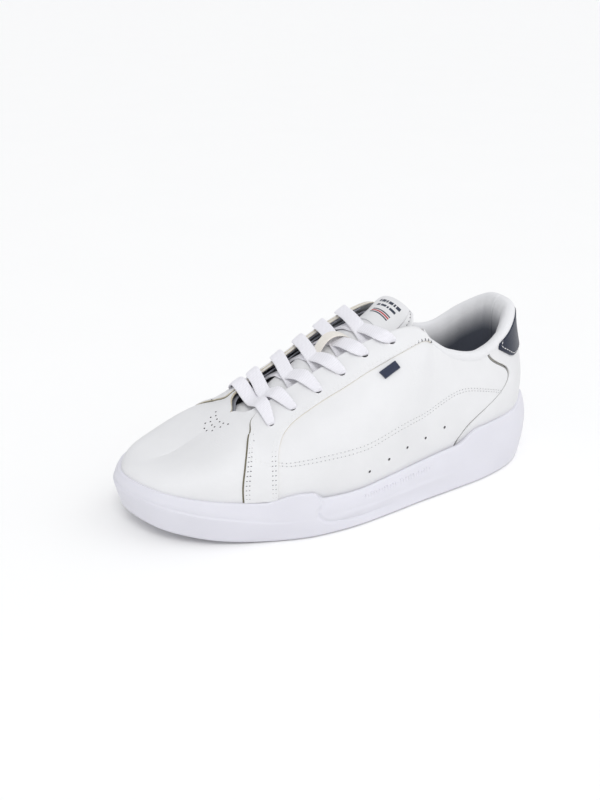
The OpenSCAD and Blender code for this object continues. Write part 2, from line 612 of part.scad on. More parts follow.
module aglets() {
    for (flip = [false, true]) {
        r = tail(flip);
        n = len(r);
        p = [for (k = [0:2]) r[n - 1][k]];
        q = [for (k = [0:2]) r[n - 2][k]];
        run = unit(p - q);
        color("white")
        translate(p + aglet_gap * run)
        rotate([0, acos(run[2]), atan2(run[1], run[0])])
        cylinder(r = aglet_r, h = aglet_l);
    }
}

cupsole_rear();
cupsole_front();
tread_rear();
tread_front();
midsole_rear();
midsole_front();
lasting_board();
insole();
vamp();
toe_puff();
vamp_lining();
lateral_quarter();
medial_quarter();
lateral_eyestay();
medial_eyestay();
lateral_eyelet_strip();
medial_eyelet_strip();
heel_panel();
heel_tab();
heel_counter();
quarter_lining();
collar_foam();
collar_roll();
tongue_skin();
tongue_foam();
tongue_lining();
tongue_label();
lace_keeper();
side_tab();
lace();
aglets();
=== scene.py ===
"""Visual model of a white low-cut court shoe (left foot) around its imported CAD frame."""
import math

import bpy
import numpy as np
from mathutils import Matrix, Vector


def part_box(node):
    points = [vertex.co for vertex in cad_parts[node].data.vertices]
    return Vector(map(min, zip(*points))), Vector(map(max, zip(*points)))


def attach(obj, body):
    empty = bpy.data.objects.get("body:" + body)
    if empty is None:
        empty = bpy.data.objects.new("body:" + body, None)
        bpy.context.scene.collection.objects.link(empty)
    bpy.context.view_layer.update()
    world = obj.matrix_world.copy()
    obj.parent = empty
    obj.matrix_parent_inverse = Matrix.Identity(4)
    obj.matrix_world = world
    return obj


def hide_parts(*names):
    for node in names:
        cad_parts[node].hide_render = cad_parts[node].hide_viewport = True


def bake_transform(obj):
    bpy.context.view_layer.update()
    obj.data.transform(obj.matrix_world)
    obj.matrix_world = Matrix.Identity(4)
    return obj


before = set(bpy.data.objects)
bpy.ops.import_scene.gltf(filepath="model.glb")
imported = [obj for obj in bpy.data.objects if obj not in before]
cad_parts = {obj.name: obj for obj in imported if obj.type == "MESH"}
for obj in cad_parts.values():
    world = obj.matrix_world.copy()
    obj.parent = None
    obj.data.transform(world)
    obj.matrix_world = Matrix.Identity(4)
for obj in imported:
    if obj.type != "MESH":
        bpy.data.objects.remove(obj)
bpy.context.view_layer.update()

# ---------------------------------------------------------------- sizes
# Everything below is worked out in millimetres of a 290 mm sole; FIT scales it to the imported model.
MM = 0.001


def node_span(names, axis):
    boxes = [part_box(n) for n in names]
    return min(b[0][axis] for b in boxes), max(b[1][axis] for b in boxes)


SOLE_NODES = ("cupsole_rear", "cupsole_front")
SOLE_X = node_span(SOLE_NODES, 0)
FIT = (SOLE_X[1] - SOLE_X[0]) / 0.290
TOE = 13        # u at the toe's centre; u is 0 at the heel's centre and grows along the outer side
LOOP = 2 * TOE  # u for one whole turn; t is 0 at the sole and 1 at the top edge

# Stations from the heel's centre to the toe's centre, on the outer and the inner side
SOLE_STATION_X = [-145, -135.5, -117, -89, -60, -33, -8, 17, 43, 68, 92, 114, 134, 145]
SOLE_OUTER_Y = [1.5, 16.5, 32.5, 42.5, 47.5, 51.5, 56, 59.5, 59.5, 55.5, 49, 39, 22, -7]
SOLE_INNER_Y = [1.5, -14, -31, -38, -37, -36, -38, -43, -49, -53, -53, -48, -34, -7]
WALL_Z = [44, 41, 37, 33.5, 30, 26, 23, 22, 24.5, 26, 27, 28.5, 30, 31]
EDGE_X = [-122, -119, -104, -83, -62, -47, -36, -4, 30, 64, 73, 89, 99, 104]
EDGE_W = [0, 15, 28, 32, 33, 33, 26, 21, 17.5, 14, 0, 0, 0, 0]
EDGE_Z = [106, 104, 94, 84, 88, 98, 110, 103, 87, 69, 62.6, 53.3, 47.6, 45]
BASE_LEAN = [2, 2, 4, 6, 8, 9, 10, 11, 11, 10, 8, 8, 8, 8]
BASE_PULL = [.42, .42, .42, .4, .4, .42, .45, .48, .48, .45, .42, .40, .38, .38]
EDGE_PULL = [.3, .3, .3, .3, .3, .3, .35, .4, .42, .48, .5, .5, .52, .52]
EDGE_TURN = [0, 0, 0, 0, 0, 0, 0, 0, 0, 0, 8, 35, 70, 90]
EDGE_DROP = [85, 85, 82, 80, 75, 60, 40, 38, 34, 24, 0, 0, 0, 0]
CENTRE_X = [-150, -60, 40, 110, 150]
CENTRE_Y = [2, 2, 1, -4, -7]
WELT = 5.0            # how far the upper stands inside the sole's outline
BED_Z = 15.7          # lower edge of the upper inside the cupsole
SKIRT = -0.25         # t of the leather's hidden lower edge
LINING_SKIRT = -0.17  # t of the linings' lower edge
RIDGE_SLOPE = 0.45    # fall of the vamp's ridge line towards the toe
LEATHER = 1.2
OVERLAY = 1.2
LINING_FACE, LINING_BACK = -3.4, -4.2
COLLAR_PAD = 4.5
COLLAR_END = 5.62      # u where the padded collar ends on each side


# ---------------------------------------------------------------- curves
def centre_y(x):
    return np.interp(x, CENTRE_X, CENTRE_Y)


def ring(outer, inner):
    return np.array(list(outer) + list(inner)[TOE - 1:0:-1], float)


def cubic(a, b, c, d, f):
    """Catmull-Rom curve between b and c, of values or of points."""
    if np.ndim(b) > np.ndim(f):
        f = f[..., None]
    return 0.5 * (2 * b + (c - a) * f
                  + (2 * a - 5 * b + 4 * c - d) * f ** 2
                  + (3 * b - a - 3 * c + d) * f ** 3)


def closed(points, u):
    """Catmull-Rom curve through a closed list of values or points."""
    points = np.asarray(points, float)
    n = len(points)
    u = np.asarray(u, float)
    base = np.floor(u)
    i = base.astype(int)
    return cubic(*(points[(i + k) % n] for k in (-1, 0, 1, 2)), u - base)


def open_curve(points, s):
    """The same through an open list; s runs from 0 to 1."""
    points = np.asarray(points, float)
    n = len(points) - 1
    s = np.clip(np.asarray(s, float), 0, 1) * n
    i = np.minimum(np.floor(s).astype(int), n - 1)
    return cubic(*(points[np.clip(i + k, 0, n)] for k in (-1, 0, 1, 2)), s - i)


def ease(a, b, x):
    f = np.clip((np.asarray(x, float) - a) / (b - a), 0, 1)
    return f * f * (3 - 2 * f)


def unit(v):
    return v / np.maximum(np.linalg.norm(v, axis=-1, keepdims=True), 1e-12)


def by_t(rows, t):
    """Value at t of a line given as [(t, value), ...]."""
    rows = np.array(rows, float)
    return np.interp(t, rows[:, 0], rows[:, 1])


def even(points, step):
    """Points every step along an open polyline."""
    points = np.asarray(points, float)
    run = np.r_[0, np.cumsum(np.linalg.norm(np.diff(points, axis=0), axis=1))]
    s = np.linspace(0, run[-1], max(2, int(round(run[-1] / step)) + 1))
    return np.stack([np.interp(s, run, points[:, k]) for k in range(points.shape[1])], 1)


OUTLINE = np.stack([ring(SOLE_STATION_X, SOLE_STATION_X), ring(SOLE_OUTER_Y, SOLE_INNER_Y)], 1)
WALLS = ring(WALL_Z, WALL_Z)
SIGN = np.array([0] + [1] * (TOE - 1) + [0] + [-1] * (TOE - 1), float)
_EX, _EW, _EZ = ring(EDGE_X, EDGE_X), ring(EDGE_W, EDGE_W), ring(EDGE_Z, EDGE_Z)
EDGE = np.stack([_EX, centre_y(_EX) + SIGN * _EW, _EZ], 1)
LEANS, PULLS, EDGE_PULLS, TURNS, DROPS = (
    ring(a, a) for a in (BASE_LEAN, BASE_PULL, EDGE_PULL, EDGE_TURN, EDGE_DROP)
)


def station(u):
    v = np.mod(u, LOOP)
    return np.minimum(v, LOOP - v)


def outward(u):
    d = unit(closed(OUTLINE, u + 0.01) - closed(OUTLINE, u - 0.01))
    return np.stack([-d[..., 1], d[..., 0]], -1)


def inset(u, d):
    return closed(OUTLINE, u) - np.asarray(d)[..., None] * outward(u)


def wall_top(u):
    return closed(WALLS, u)


def ribs(u):
    """Control points of the curves that climb from the sole's wall to the top edge."""
    u = np.asarray(u, float)
    n = outward(u)
    foot = inset(u, np.full(u.shape, WELT))
    base = np.concatenate([foot, wall_top(u)[..., None]], -1)
    top = closed(EDGE, u)
    reach = np.linalg.norm(top - base, axis=-1)[..., None]
    lean, turn, drop = (np.radians(closed(a, u))[..., None] for a in (LEANS, TURNS, DROPS))
    k = station(u)
    sgn = np.where(np.mod(u, LOOP) <= TOE, 1.0, -1.0)
    back = np.radians(90) * np.minimum(1, k / 3)
    flat = np.stack([
        np.where(k < 3, -np.cos(back), 0), np.where(k < 3, sgn * np.sin(back), sgn), np.zeros_like(k)
    ], -1)
    fore = np.array([1, 0, -RIDGE_SLOPE]) / math.hypot(1, RIDGE_SLOPE)
    away = np.where((k < 9.5)[..., None], flat, np.cos(turn) * flat + np.sin(turn) * fore)
    down = away * np.cos(drop) + np.array([0, 0, -1]) * np.sin(drop)
    rise = np.concatenate([n * np.sin(lean), np.cos(lean)], -1)
    return (
        base,
        base + closed(PULLS, u)[..., None] * reach * rise,
        top + closed(EDGE_PULLS, u)[..., None] * reach * down,
        top,
    )


def face(u, t):
    a, b, c, d = ribs(u)
    t = np.asarray(t, float)[..., None]
    s = np.maximum(t, 0)
    m = 1 - s
    p = m ** 3 * a + 3 * m * m * s * b + 3 * m * s * s * c + s ** 3 * d
    p[..., 2] += (np.minimum(t, 0) / -SKIRT)[..., 0] * (a[..., 2] - BED_Z)
    return p


RIDGE_N = np.array([RIDGE_SLOPE, 0, 1]) / math.hypot(1, RIDGE_SLOPE)


def normal(u, t):
    v = np.minimum(t, 0.95)
    e = 0.01
    n = unit(np.cross(face(u, v + e) - face(u, v - e), face(u + e, v) - face(u - e, v)))
    k = station(u)
    w = (ease(0.86, 1, t) * ease(9.4, 10, k))[..., None]
    return unit(n * (1 - w) + RIDGE_N * w)


def skin(u, t, d):
    u, t, d = np.broadcast_arrays(np.asarray(u, float), np.asarray(t, float), np.asarray(d, float))
    return face(u, t) + d[..., None] * normal(u, t)


def pad(u, t):
    return COLLAR_PAD * ease(0.60, 0.80, t) * (1 - ease(4.4, 5.6, station(u)))


# ---------------------------------------------------------------- materials
def material(name, colour, rough, **sockets):
    m = bpy.data.materials.new(name)
    m.use_nodes = True
    nodes = m.node_tree.nodes
    shader = nodes["Principled BSDF"]
    shader.inputs["Base Color"].default_value = (*colour, 1)
    shader.inputs["Roughness"].default_value = rough
    for key, value in sockets.items():
        shader.inputs[key.replace("_", " ")].default_value = value
    return m, m.node_tree, shader


def add(tree, kind, **values):
    n = tree.nodes.new(kind)
    for key, value in values.items():
        if key in n.inputs:
            n.inputs[key].default_value = value
        else:
            setattr(n, key, value)
    return n


def coords(tree, use_uv=False):
    return add(tree, "ShaderNodeTexCoord").outputs["UV" if use_uv else "Object"]


def noise(tree, where, scale, detail=3.0):
    n = add(tree, "ShaderNodeTexNoise", Scale=scale, Detail=detail)
    tree.links.new(where, n.inputs["Vector"])
    return n.outputs["Fac"]


def ramp(tree, value, stops):
    n = add(tree, "ShaderNodeValToRGB")
    n.color_ramp.elements[0].position, n.color_ramp.elements[1].position = stops[0][0], stops[-1][0]
    for e, s in zip(n.color_ramp.elements, (stops[0], stops[-1])):
        e.color = (*s[1], 1)
    for s in stops[1:-1]:
        n.color_ramp.elements.new(s[0]).color = (*s[1], 1)
    tree.links.new(value, n.inputs["Fac"])
    return n.outputs["Color"]


def voronoi(tree, where, scale, **more):
    n = add(tree, "ShaderNodeTexVoronoi", Scale=scale, **more)
    tree.links.new(where, n.inputs["Vector"])
    return n.outputs["Distance"]


def maths(tree, op, *values):
    n = add(tree, "ShaderNodeMath", operation=op)
    for k, v in enumerate(values):
        if hasattr(v, "links"):
            tree.links.new(v, n.inputs[k])
        else:
            n.inputs[k].default_value = v
    return n.outputs[0]


def bump(tree, shader, height, strength, distance):
    n = add(tree, "ShaderNodeBump", Strength=strength, Distance=distance)
    tree.links.new(height, n.inputs["Height"])
    tree.links.new(n.outputs["Normal"], shader.inputs["Normal"])


def tint(tree, shader, value, stops):
    tree.links.new(ramp(tree, value, stops), shader.inputs["Base Color"])


def shades(colour, spread):
    return tuple(max(0, c * (1 - spread)) for c in colour), tuple(min(1, c * (1 + spread)) for c in colour)


def leather(name, colour, rough, grain=1.0, spread=0.02):
    """Smooth coated leather: fine pebbled grain, faint mottling and uneven gloss."""
    m, t, s = material(name, colour, rough, Coat_Weight=0.04, Coat_Roughness=0.5, Specular_IOR_Level=0.35)
    where = coords(t)
    cells = voronoi(t, where, 1150.0, feature="SMOOTH_F1", Smoothness=0.6)
    broad = noise(t, where, 38.0)
    fine = noise(t, where, 900.0, 2.0)
    lo, hi = shades(colour, spread)
    tint(t, s, broad, [(0.3, lo), (0.7, hi)])
    t.links.new(maths(t, "MULTIPLY_ADD", fine, 0.18, rough - 0.09), s.inputs["Roughness"])
    pebbles = maths(t, "MULTIPLY", cells, 0.7)
    height = maths(t, "ADD", pebbles, maths(t, "MULTIPLY", broad, 1.2))
    bump(t, s, height, 0.22 * grain, 0.00035)
    return m


def rubber(name, colour):
    """Matt moulded rubber with a fine mould texture and slight scuffs."""
    m, t, s = material(name, colour, 0.48, Subsurface_Weight=0.06, Subsurface_Radius=(0.004, 0.004, 0.005))
    where = coords(t)
    broad, fine = noise(t, where, 24.0), noise(t, where, 1500.0, 2.0)
    lo, hi = shades(colour, 0.018)
    tint(t, s, broad, [(0.35, lo), (0.65, hi)])
    t.links.new(maths(t, "MULTIPLY_ADD", broad, 0.2, 0.38), s.inputs["Roughness"])
    bump(t, s, fine, 0.18, 0.0002)
    return m


def woven(name, colour, rough, across, along_n, depth=0.6, spread=0.1):
    """Plain weave laid along the piece's own UV directions."""
    m, t, s = material(name, colour, rough, Sheen_Weight=0.25, Sheen_Roughness=0.5)
    uv = coords(t, True)
    split = add(t, "ShaderNodeSeparateXYZ")
    t.links.new(uv, split.inputs[0])
    warp = maths(t, "SINE", maths(t, "MULTIPLY", split.outputs["X"], across * math.pi * 2), 0)
    weft = maths(t, "SINE", maths(t, "MULTIPLY", split.outputs["Y"], along_n * math.pi * 2), 0)
    height = maths(t, "MULTIPLY_ADD", maths(t, "MULTIPLY", warp, weft), 0.5, 0.5)
    lo, hi = shades(colour, spread)
    fuzz = noise(t, coords(t), 700.0)
    both = maths(t, "ADD", maths(t, "MULTIPLY", height, 0.7), maths(t, "MULTIPLY", fuzz, 0.3))
    tint(t, s, both, [(0.2, lo), (0.75, hi)])
    bump(t, s, both, depth, 0.0003)
    return m


def cloth(name, colour, rough, scale, depth=0.5, spread=0.12, sheen=0.2):
    """Knitted or felted cloth whose texture doesn't need UVs."""
    m, t, s = material(name, colour, rough, Sheen_Weight=sheen, Sheen_Roughness=0.5)
    where = coords(t)
    fuzz = noise(t, where, scale * 0.8)
    loops = maths(t, "MULTIPLY", voronoi(t, where, scale), 0.8)
    both = maths(t, "ADD", loops, maths(t, "MULTIPLY", fuzz, 0.5))
    lo, hi = shades(colour, spread)
    tint(t, s, both, [(0.2, hi), (0.9, lo)])
    bump(t, s, both, depth, 0.0004)
    return m


def painted_depth_shade(name, light, dark, rough, low, high):
    """Knitted lining that turns from light to dark along the piece's V direction: painted shade, darker deeper
    inside the collar.
    """
    scale = 1400.0
    m, t, s = material(name, light, rough, Sheen_Weight=0.15, Sheen_Roughness=0.5)
    split = add(t, "ShaderNodeSeparateXYZ")
    t.links.new(coords(t, True), split.inputs[0])
    where = coords(t)
    fuzz = noise(t, where, scale)
    place = maths(t, "ADD", split.outputs["Y"], maths(t, "MULTIPLY", maths(t, "SUBTRACT", fuzz, 0.5), 0.03))
    tint(t, s, place, [(low, light), (high, dark)])
    bump(t, s, maths(t, "ADD", voronoi(t, where, scale), fuzz), 0.35, 0.0003)
    return m


def plastic(name, colour, rough):
    m, t, s = material(name, colour, rough, Coat_Weight=0.3)
    fine = noise(t, coords(t), 260.0)
    lo, hi = shades(colour, 0.03)
    tint(t, s, fine, [(0.3, lo), (0.7, hi)])
    bump(t, s, fine, 0.1, 0.0001)
    return m


WHITE = leather("white_leather", (0.765, 0.765, 0.775), 0.58)
NAVY = leather("navy_leather", (0.012, 0.018, 0.040), 0.40, 0.8, 0.12)
SOLE = rubber("sole_rubber", (0.71, 0.705, 0.76))
RAW = cloth("raw_edge", (0.66, 0.60, 0.47), 0.8, 1800.0, 0.4)
THREAD = cloth("white_thread", (0.80, 0.80, 0.80), 0.6, 2600.0, 0.3)
NEEDLE = cloth("needle_holes", (0.12, 0.12, 0.14), 0.9, 2500.0, 0.2)
FAINT = cloth("faint_needle_holes", (0.36, 0.36, 0.38), 0.9, 2500.0, 0.2)
# painted shadow: a dark strip along the heel seam, where the quarter's edge shades the heel panel
SEAM_SHADOW_PAINT = cloth("painted_seam_shadow", (0.24, 0.235, 0.23), 0.9, 2200.0, 0.3)
# painted shadow: a dark olive strip on the vamp at the foot of the eyestay's front edge
EDGE_SHADOW_PAINT = cloth("edge_shadow", (0.17, 0.155, 0.11), 0.9, 2200.0, 0.3)
PUNCH = cloth("punched_edge", (0.22, 0.215, 0.22), 0.9, 2200.0, 0.3)
LACE = woven("lace_cotton", (0.83, 0.82, 0.865), 0.75, 9, 1, 0.7)
# knit lining: a real piece, but its colour is partly painted shade, darkened for the shadowed inside of the
# shoe
SHADE_DARKENED_LINING = cloth("lining_knit_painted_shade", (0.30, 0.31, 0.35), 0.85, 1300.0, 0.5)
# collar lining: light at the top, then painted shade that darkens down inside the collar
COLLAR = painted_depth_shade("collar_lining_painted_shade", (0.765, 0.765, 0.78), (0.085, 0.095, 0.125), 0.75, 0.50, 0.80)
DARK = cloth("insole_cloth", (0.060, 0.070, 0.105), 0.9, 1000.0, 0.5)
FOAM = cloth("foam", (0.78, 0.75, 0.64), 0.9, 700.0, 0.7, 0.1, 0.0)
BOARD = cloth("fibre_board", (0.55, 0.46, 0.33), 0.9, 500.0, 0.4, 0.2, 0.0)
KEEPER = woven("keeper_webbing", (0.80, 0.76, 0.70), 0.8, 8, 1, 0.8)
TAPE = woven("tab_tape", (0.018, 0.026, 0.060), 0.75, 10, 10, 0.7, 0.3)
PATCH = woven("label_patch", (0.78, 0.78, 0.79), 0.7, 30, 22, 0.3, 0.03)
PRINT = cloth("label_print", (0.02, 0.028, 0.055), 0.7, 1900.0, 0.2)
RED = cloth("accent_print", (0.52, 0.03, 0.035), 0.7, 1900.0, 0.2)
TIP = plastic("aglet_plastic", (0.72, 0.72, 0.75), 0.22)


# ---------------------------------------------------------------- mesh building
def placed(name, data):
    obj = bpy.data.objects.new(name, data)
    bpy.context.scene.collection.objects.link(obj)
    return obj


def lay_uv(mesh, uvs):
    """Gives each point of the mesh its own UV."""
    layer = mesh.uv_layers.new(name="along")
    index = np.empty(len(mesh.loops), np.int32)
    mesh.loops.foreach_get("vertex_index", index)
    layer.data.foreach_set("uv", np.asarray(uvs, np.float32)[index].ravel())


def build(name, points, faces, mats, body=None, cad_slot=None, face_mats=None, uvs=None, sharp=35):
    """Makes an object from points in millimetres."""
    mesh = bpy.data.meshes.new(name)
    mesh.from_pydata((np.asarray(points) * (MM * FIT)).tolist(), [], faces)
    for m in mats:
        mesh.materials.append(m)
    if face_mats is not None:
        mesh.polygons.foreach_set("material_index", np.asarray(face_mats, np.int32))
    if uvs is not None:
        lay_uv(mesh, uvs)
    mesh.polygons.foreach_set("use_smooth", [True] * len(mesh.polygons))
    mesh.validate()
    mesh.update()
    if sharp:
        mesh.set_sharp_from_angle(angle=math.radians(sharp))
    obj = placed(name + "_piece", mesh)
    if body:
        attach(obj, body)
    return obj


def across_flex(obj):
    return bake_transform(obj)


def loop_faces(rings, n):
    """Quads between rings of n points each."""
    a = (np.arange(rings - 1)[:, None] * n + np.arange(n)[None, :]).ravel()
    b = (np.arange(rings - 1)[:, None] * n + (np.arange(n)[None, :] + 1) % n).ravel()
    return np.stack([a, a + n, b + n, b], 1).tolist()


def tube_faces(rings, n):
    """The same for a closed tube, each quad written from its far ring back, with a flat cap at each end."""
    quads = [[b, c, d, a] for a, b, c, d in loop_faces(rings, n)]
    return quads + [list(range(n)), list(range(rings * n - 1, (rings - 1) * n - 1, -1))]


def cross_cap(start, n, up):
    """Fills a ring of n points with strips between mirrored stations, so that it follows the toe's lift."""
    out = []
    for k in range(n // 2):
        q = list(dict.fromkeys([start + k, start + k + 1, start + (n - k - 1) % n, start + (n - k) % n]))
        out.append(q if up else q[::-1])
    return out


def stacked(grid):
    """Points and faces of rings that follow the shoe's outline, closed at both ends."""
    rings, n = grid.shape[:2]
    faces = loop_faces(rings, n) + cross_cap(0, n, True) + cross_cap((rings - 1) * n, n, False)
    return grid.reshape(-1, 3), faces


def grid_faces(m, n, flip=False):
    i, j = np.meshgrid(np.arange(m - 1), np.arange(n - 1), indexing="ij")
    a = (i * n + j).ravel()
    quads = np.stack([a, a + 1, a + n + 1, a + n], 1)
    return quads[:, ::-1] if flip else quads


def shell(top, low, flip=False):
    """Closed sheet between two grids of points. Returns points, faces and a 0/1 flag for its side walls."""
    m, n = top.shape[:2]
    s = m * n
    faces = grid_faces(m, n).tolist() + (grid_faces(m, n, True) + s).tolist()
    j = np.arange(n - 1)
    q = (m - 1) * n + j
    i = np.arange(m - 1) * n
    k = i + n - 1
    walls = np.concatenate([
        np.stack([j, s + j, s + j + 1, j + 1], 1),
        np.stack([q, q + 1, s + q + 1, s + q], 1),
        np.stack([i, i + n, s + i + n, s + i], 1),
        np.stack([k, s + k, s + k + n, k + n], 1),
    ]).tolist()
    points = np.concatenate([top.reshape(-1, 3), low.reshape(-1, 3)])
    flags = [0] * len(faces) + [1] * len(walls)
    faces += walls
    return points, [q[::-1] for q in faces] if flip else faces, flags


def border_distance(points):
    """Distance of each grid point to the nearest border of its grid, measured along rows and columns."""
    down = np.linalg.norm(np.diff(points, axis=0), axis=2)
    over = np.linalg.norm(np.diff(points, axis=1), axis=2)
    a = np.concatenate([np.zeros((1, points.shape[1])), np.cumsum(down, 0)])
    b = np.concatenate([np.zeros((points.shape[0], 1)), np.cumsum(over, 1)], 1)
    return a, a[-1:] - a, b, b[:, -1:] - b


def panel(name, u, t, lo, hi, mats, body, cad_slot, sides=(1, 1, 1, 1), round_r=0.7, lo_pad=0, hi_pad=0):
    """Thick panel of the upper over grids u, t. sides says which borders are rounded: the first row, the last
    row, the first column and the last column."""
    padding = pad(u, t) if lo_pad or hi_pad else 0
    flat = skin(u, t, 0 * u)
    gaps = border_distance(flat)
    near = np.min([g if s else np.full_like(u, 99.0) for g, s in zip(gaps, sides)], 0)
    f = np.clip(near / round_r, 0, 1)
    drop = (1 - np.sqrt(np.clip(1 - (1 - f) ** 2, 0, 1))) * min(round_r, (hi - lo) * 0.6)
    height = hi - drop - hi_pad * padding
    points, faces, flags = shell(skin(u, t, height), skin(u, t, lo - lo_pad * padding + 0 * u))
    return build(name, points, faces, mats, body, cad_slot, flags if len(mats) > 1 else None)


def fine_steps(n, fine=0.012):
    """0 to 1 in n steps, with two extra close ones at each end for a rounded edge."""
    inner = np.linspace(fine * 2.5, 1 - fine * 2.5, n)
    return np.r_[0, fine * 0.5, fine, fine * 1.7, inner, 1 - fine * 1.7, 1 - fine, 1 - fine * 0.5, 1]


def flipped(u, t):
    """The same grid on the inner side, still facing outwards."""
    return (LOOP - u)[::-1], t[::-1]


def cut(obj, tools):
    """Takes the closed tool object out of obj and removes the tool."""
    mod = obj.modifiers.new("cut", "BOOLEAN")
    mod.operation = "DIFFERENCE"
    mod.solver = "MANIFOLD"
    mod.object = tools
    if hasattr(mod, "material_mode"):
        mod.material_mode = "TRANSFER"
    graph = bpy.context.evaluated_depsgraph_get()
    mesh = bpy.data.meshes.new_from_object(obj.evaluated_get(graph))
    obj.modifiers.clear()
    if len(mesh.polygons) > 0.5 * len(obj.data.polygons):
        old = obj.data
        obj.data = mesh
        mesh.name = obj.name
        bpy.data.meshes.remove(old)
    obj.data.set_sharp_from_angle(angle=math.radians(35))
    bpy.data.objects.remove(tools)


def circle(a, b, sides):
    """Points of the unit circle in the plane of a and b."""
    angle = np.linspace(0, 2 * np.pi, sides, endpoint=False)[:, None]
    return np.cos(angle) * a + np.sin(angle) * b


def cylinder(place, axis, radius, above, below, sides, aside):
    """Closed cylinder round an axis; its first point lies square to the axis and to the direction aside."""
    a = unit(np.cross(axis, aside))
    rim = place + radius * circle(a, np.cross(axis, a), sides)
    return np.concatenate([rim + axis * above, rim - axis * below]), tube_faces(2, sides)


def merged(parts):
    """One mesh from [(points, faces, material index)]: points, faces and each face's material index."""
    points, faces, index = [], [], []
    s = 0
    for p, f, k in parts:
        points.append(np.asarray(p))
        faces += [[v + s for v in q] for q in f]
        index += [k] * len(f)
        s += len(p)
    return np.concatenate(points), faces, index


def punches(spots):
    """Round cutters, one closed cylinder a spot: (place, direction, radius, depth above, depth below)."""
    points, faces, _ = merged([(*cylinder(*spot, 14, [0.3, 0.9, 0.1]), 0) for spot in spots])
    return build("tools", points, faces, [PUNCH], sharp=0)


def join_parts(name, parts, mats, body, cad_slot):
    """One object from several parts; with no body its transform is baked into its points."""
    points, faces, index = merged(parts)
    obj = build(name, points, faces, mats, body, cad_slot, index)
    if body is None:
        across_flex(obj)


# ---------------------------------------------------------------- stitching
def capsule(p, run, up, length, radius):
    """A short rounded stitch lying on the surface, a little flattened."""
    flat, sides = 0.8, 6
    section = circle(unit(np.cross(run, up)), flat * up, sides)
    rings = [(-0.5, 0.35), (-0.36, 0.85), (0, 1), (0.36, 0.85), (0.5, 0.35)]
    points = np.concatenate([p + run * (f * length) + section * (radius * r) for f, r in rings])
    return points, [q[::-1] for q in tube_faces(len(rings), sides)]


def disc(p, up, radius, rise):
    """A needle hole: a low dark disc that stands rise above the leather."""
    return cylinder(p, up, radius, rise, 0.25, 8, [0.2, 0.5, 0.8])


def stitch_row(uv, depth, pitch=2.7, length=1.45, radius=0.30, hole=0.54):
    """Stitches and their needle holes along a [u, t] line, at a height above the leather's face."""
    fine = open_curve(uv, np.linspace(0, 1, 60 * len(uv)))
    place = even(np.c_[skin(fine[:, 0], fine[:, 1], depth), fine], 0.25)
    run_l = np.r_[0, np.cumsum(np.linalg.norm(np.diff(place[:, :3], axis=0), axis=1))]
    count = max(1, int(run_l[-1] / pitch))
    parts = []
    for k in range(count):
        mid = (k + 0.5) * run_l[-1] / count
        q = np.array([np.interp(mid, run_l, place[:, c]) for c in range(5)])
        q2 = np.array([np.interp(mid + 0.3, run_l, place[:, c]) for c in range(5)])
        up = normal(q[3:4], q[4:5])[0]
        run = unit(q2[:3] - q[:3])
        parts.append((*capsule(q[:3] + up * 0.06, run, up, length, radius), 0))
        end = q[:3] + run * (0.5 * run_l[-1] / count)
        parts.append((*disc(end, up, hole, 0.07), 1))
    return parts


def mirrored(uv):
    return [(LOOP - a, b) for a, b in uv]


def raised(line, rise):
    return [(a, b + rise) for a, b in line]


def between(a, b, f):
    """The line a fraction f of the way from line a to line b, both lists of (u, t)."""
    return [tuple(np.array(p) * (1 - f) + np.array(q) * f) for p, q in zip(a, b)]


# ---------------------------------------------------------------- camera, light, floor
def facing(direction):
    """Rotation of a camera or lamp that looks along a direction."""
    return Vector(direction).to_track_quat("-Z", "Y").to_euler()


def camera():
    """The photograph's view: three-quarter front from the outer side, a little above."""
    azimuth, elevation, distance = math.radians(153.97), math.radians(24.05), 0.685 * FIT
    aim = Vector((0.0049, -0.0446, 0.040)) * FIT
    back = Vector((
        math.sin(azimuth) * math.cos(elevation), -math.cos(azimuth) * math.cos(elevation), math.sin(elevation)
    ))
    cam = placed("camera", bpy.data.cameras.new("camera"))
    cam.location = aim + back * distance
    cam.rotation_euler = facing(-back)
    cam.data.lens, cam.data.sensor_width = 45.86, 36  # mm
    cam.data.clip_start, cam.data.clip_end = 0.01, 50
    bpy.context.scene.camera = cam


def area_light(name, place, aim, size, power):
    lamp = bpy.data.lights.new(name, "AREA")
    lamp.shape, lamp.size, lamp.size_y = "RECTANGLE", size[0], size[1]
    lamp.energy = power
    obj = placed(name, lamp)
    obj.location = place
    obj.rotation_euler = facing(Vector(aim) - Vector(place))


def sun(name, towards, strength, spread, colour=(1, 1, 1)):
    light = bpy.data.lights.new(name, "SUN")
    light.energy, light.angle, light.color = strength, math.radians(spread), colour
    placed(name, light).rotation_euler = facing(towards)


def studio():
    world = bpy.data.worlds.new("studio")
    world.use_nodes = True
    world.node_tree.nodes["Background"].inputs["Color"].default_value = (0.97, 0.98, 1, 1)
    world.node_tree.nodes["Background"].inputs["Strength"].default_value = 0.68
    bpy.context.scene.world = world
    sun("key", (-0.25, -0.62, -0.85), 0.95, 24)
    sun("fill", (0.8, -0.35, -0.7), 0.45, 60, (0.98, 0.99, 1))
    area_light("sheen", (0.15, 0.55, 0.75), (0, 0, 0.05), (0.5, 0.25), 0.45)
    m, t, s = material("floor", (0.86, 0.86, 0.87), 0.9)
    fine = noise(t, coords(t), 9.0)
    tint(t, s, fine, [(0.3, (0.975, 0.972, 0.965)), (0.7, (0.98, 0.977, 0.97))])
    bpy.ops.mesh.primitive_plane_add(size=60, location=(0, 0, -0.0002))
    floor = bpy.context.object
    floor.name = "floor"
    floor.data.materials.append(m)
    bpy.context.scene.view_settings.view_transform = "Standard"


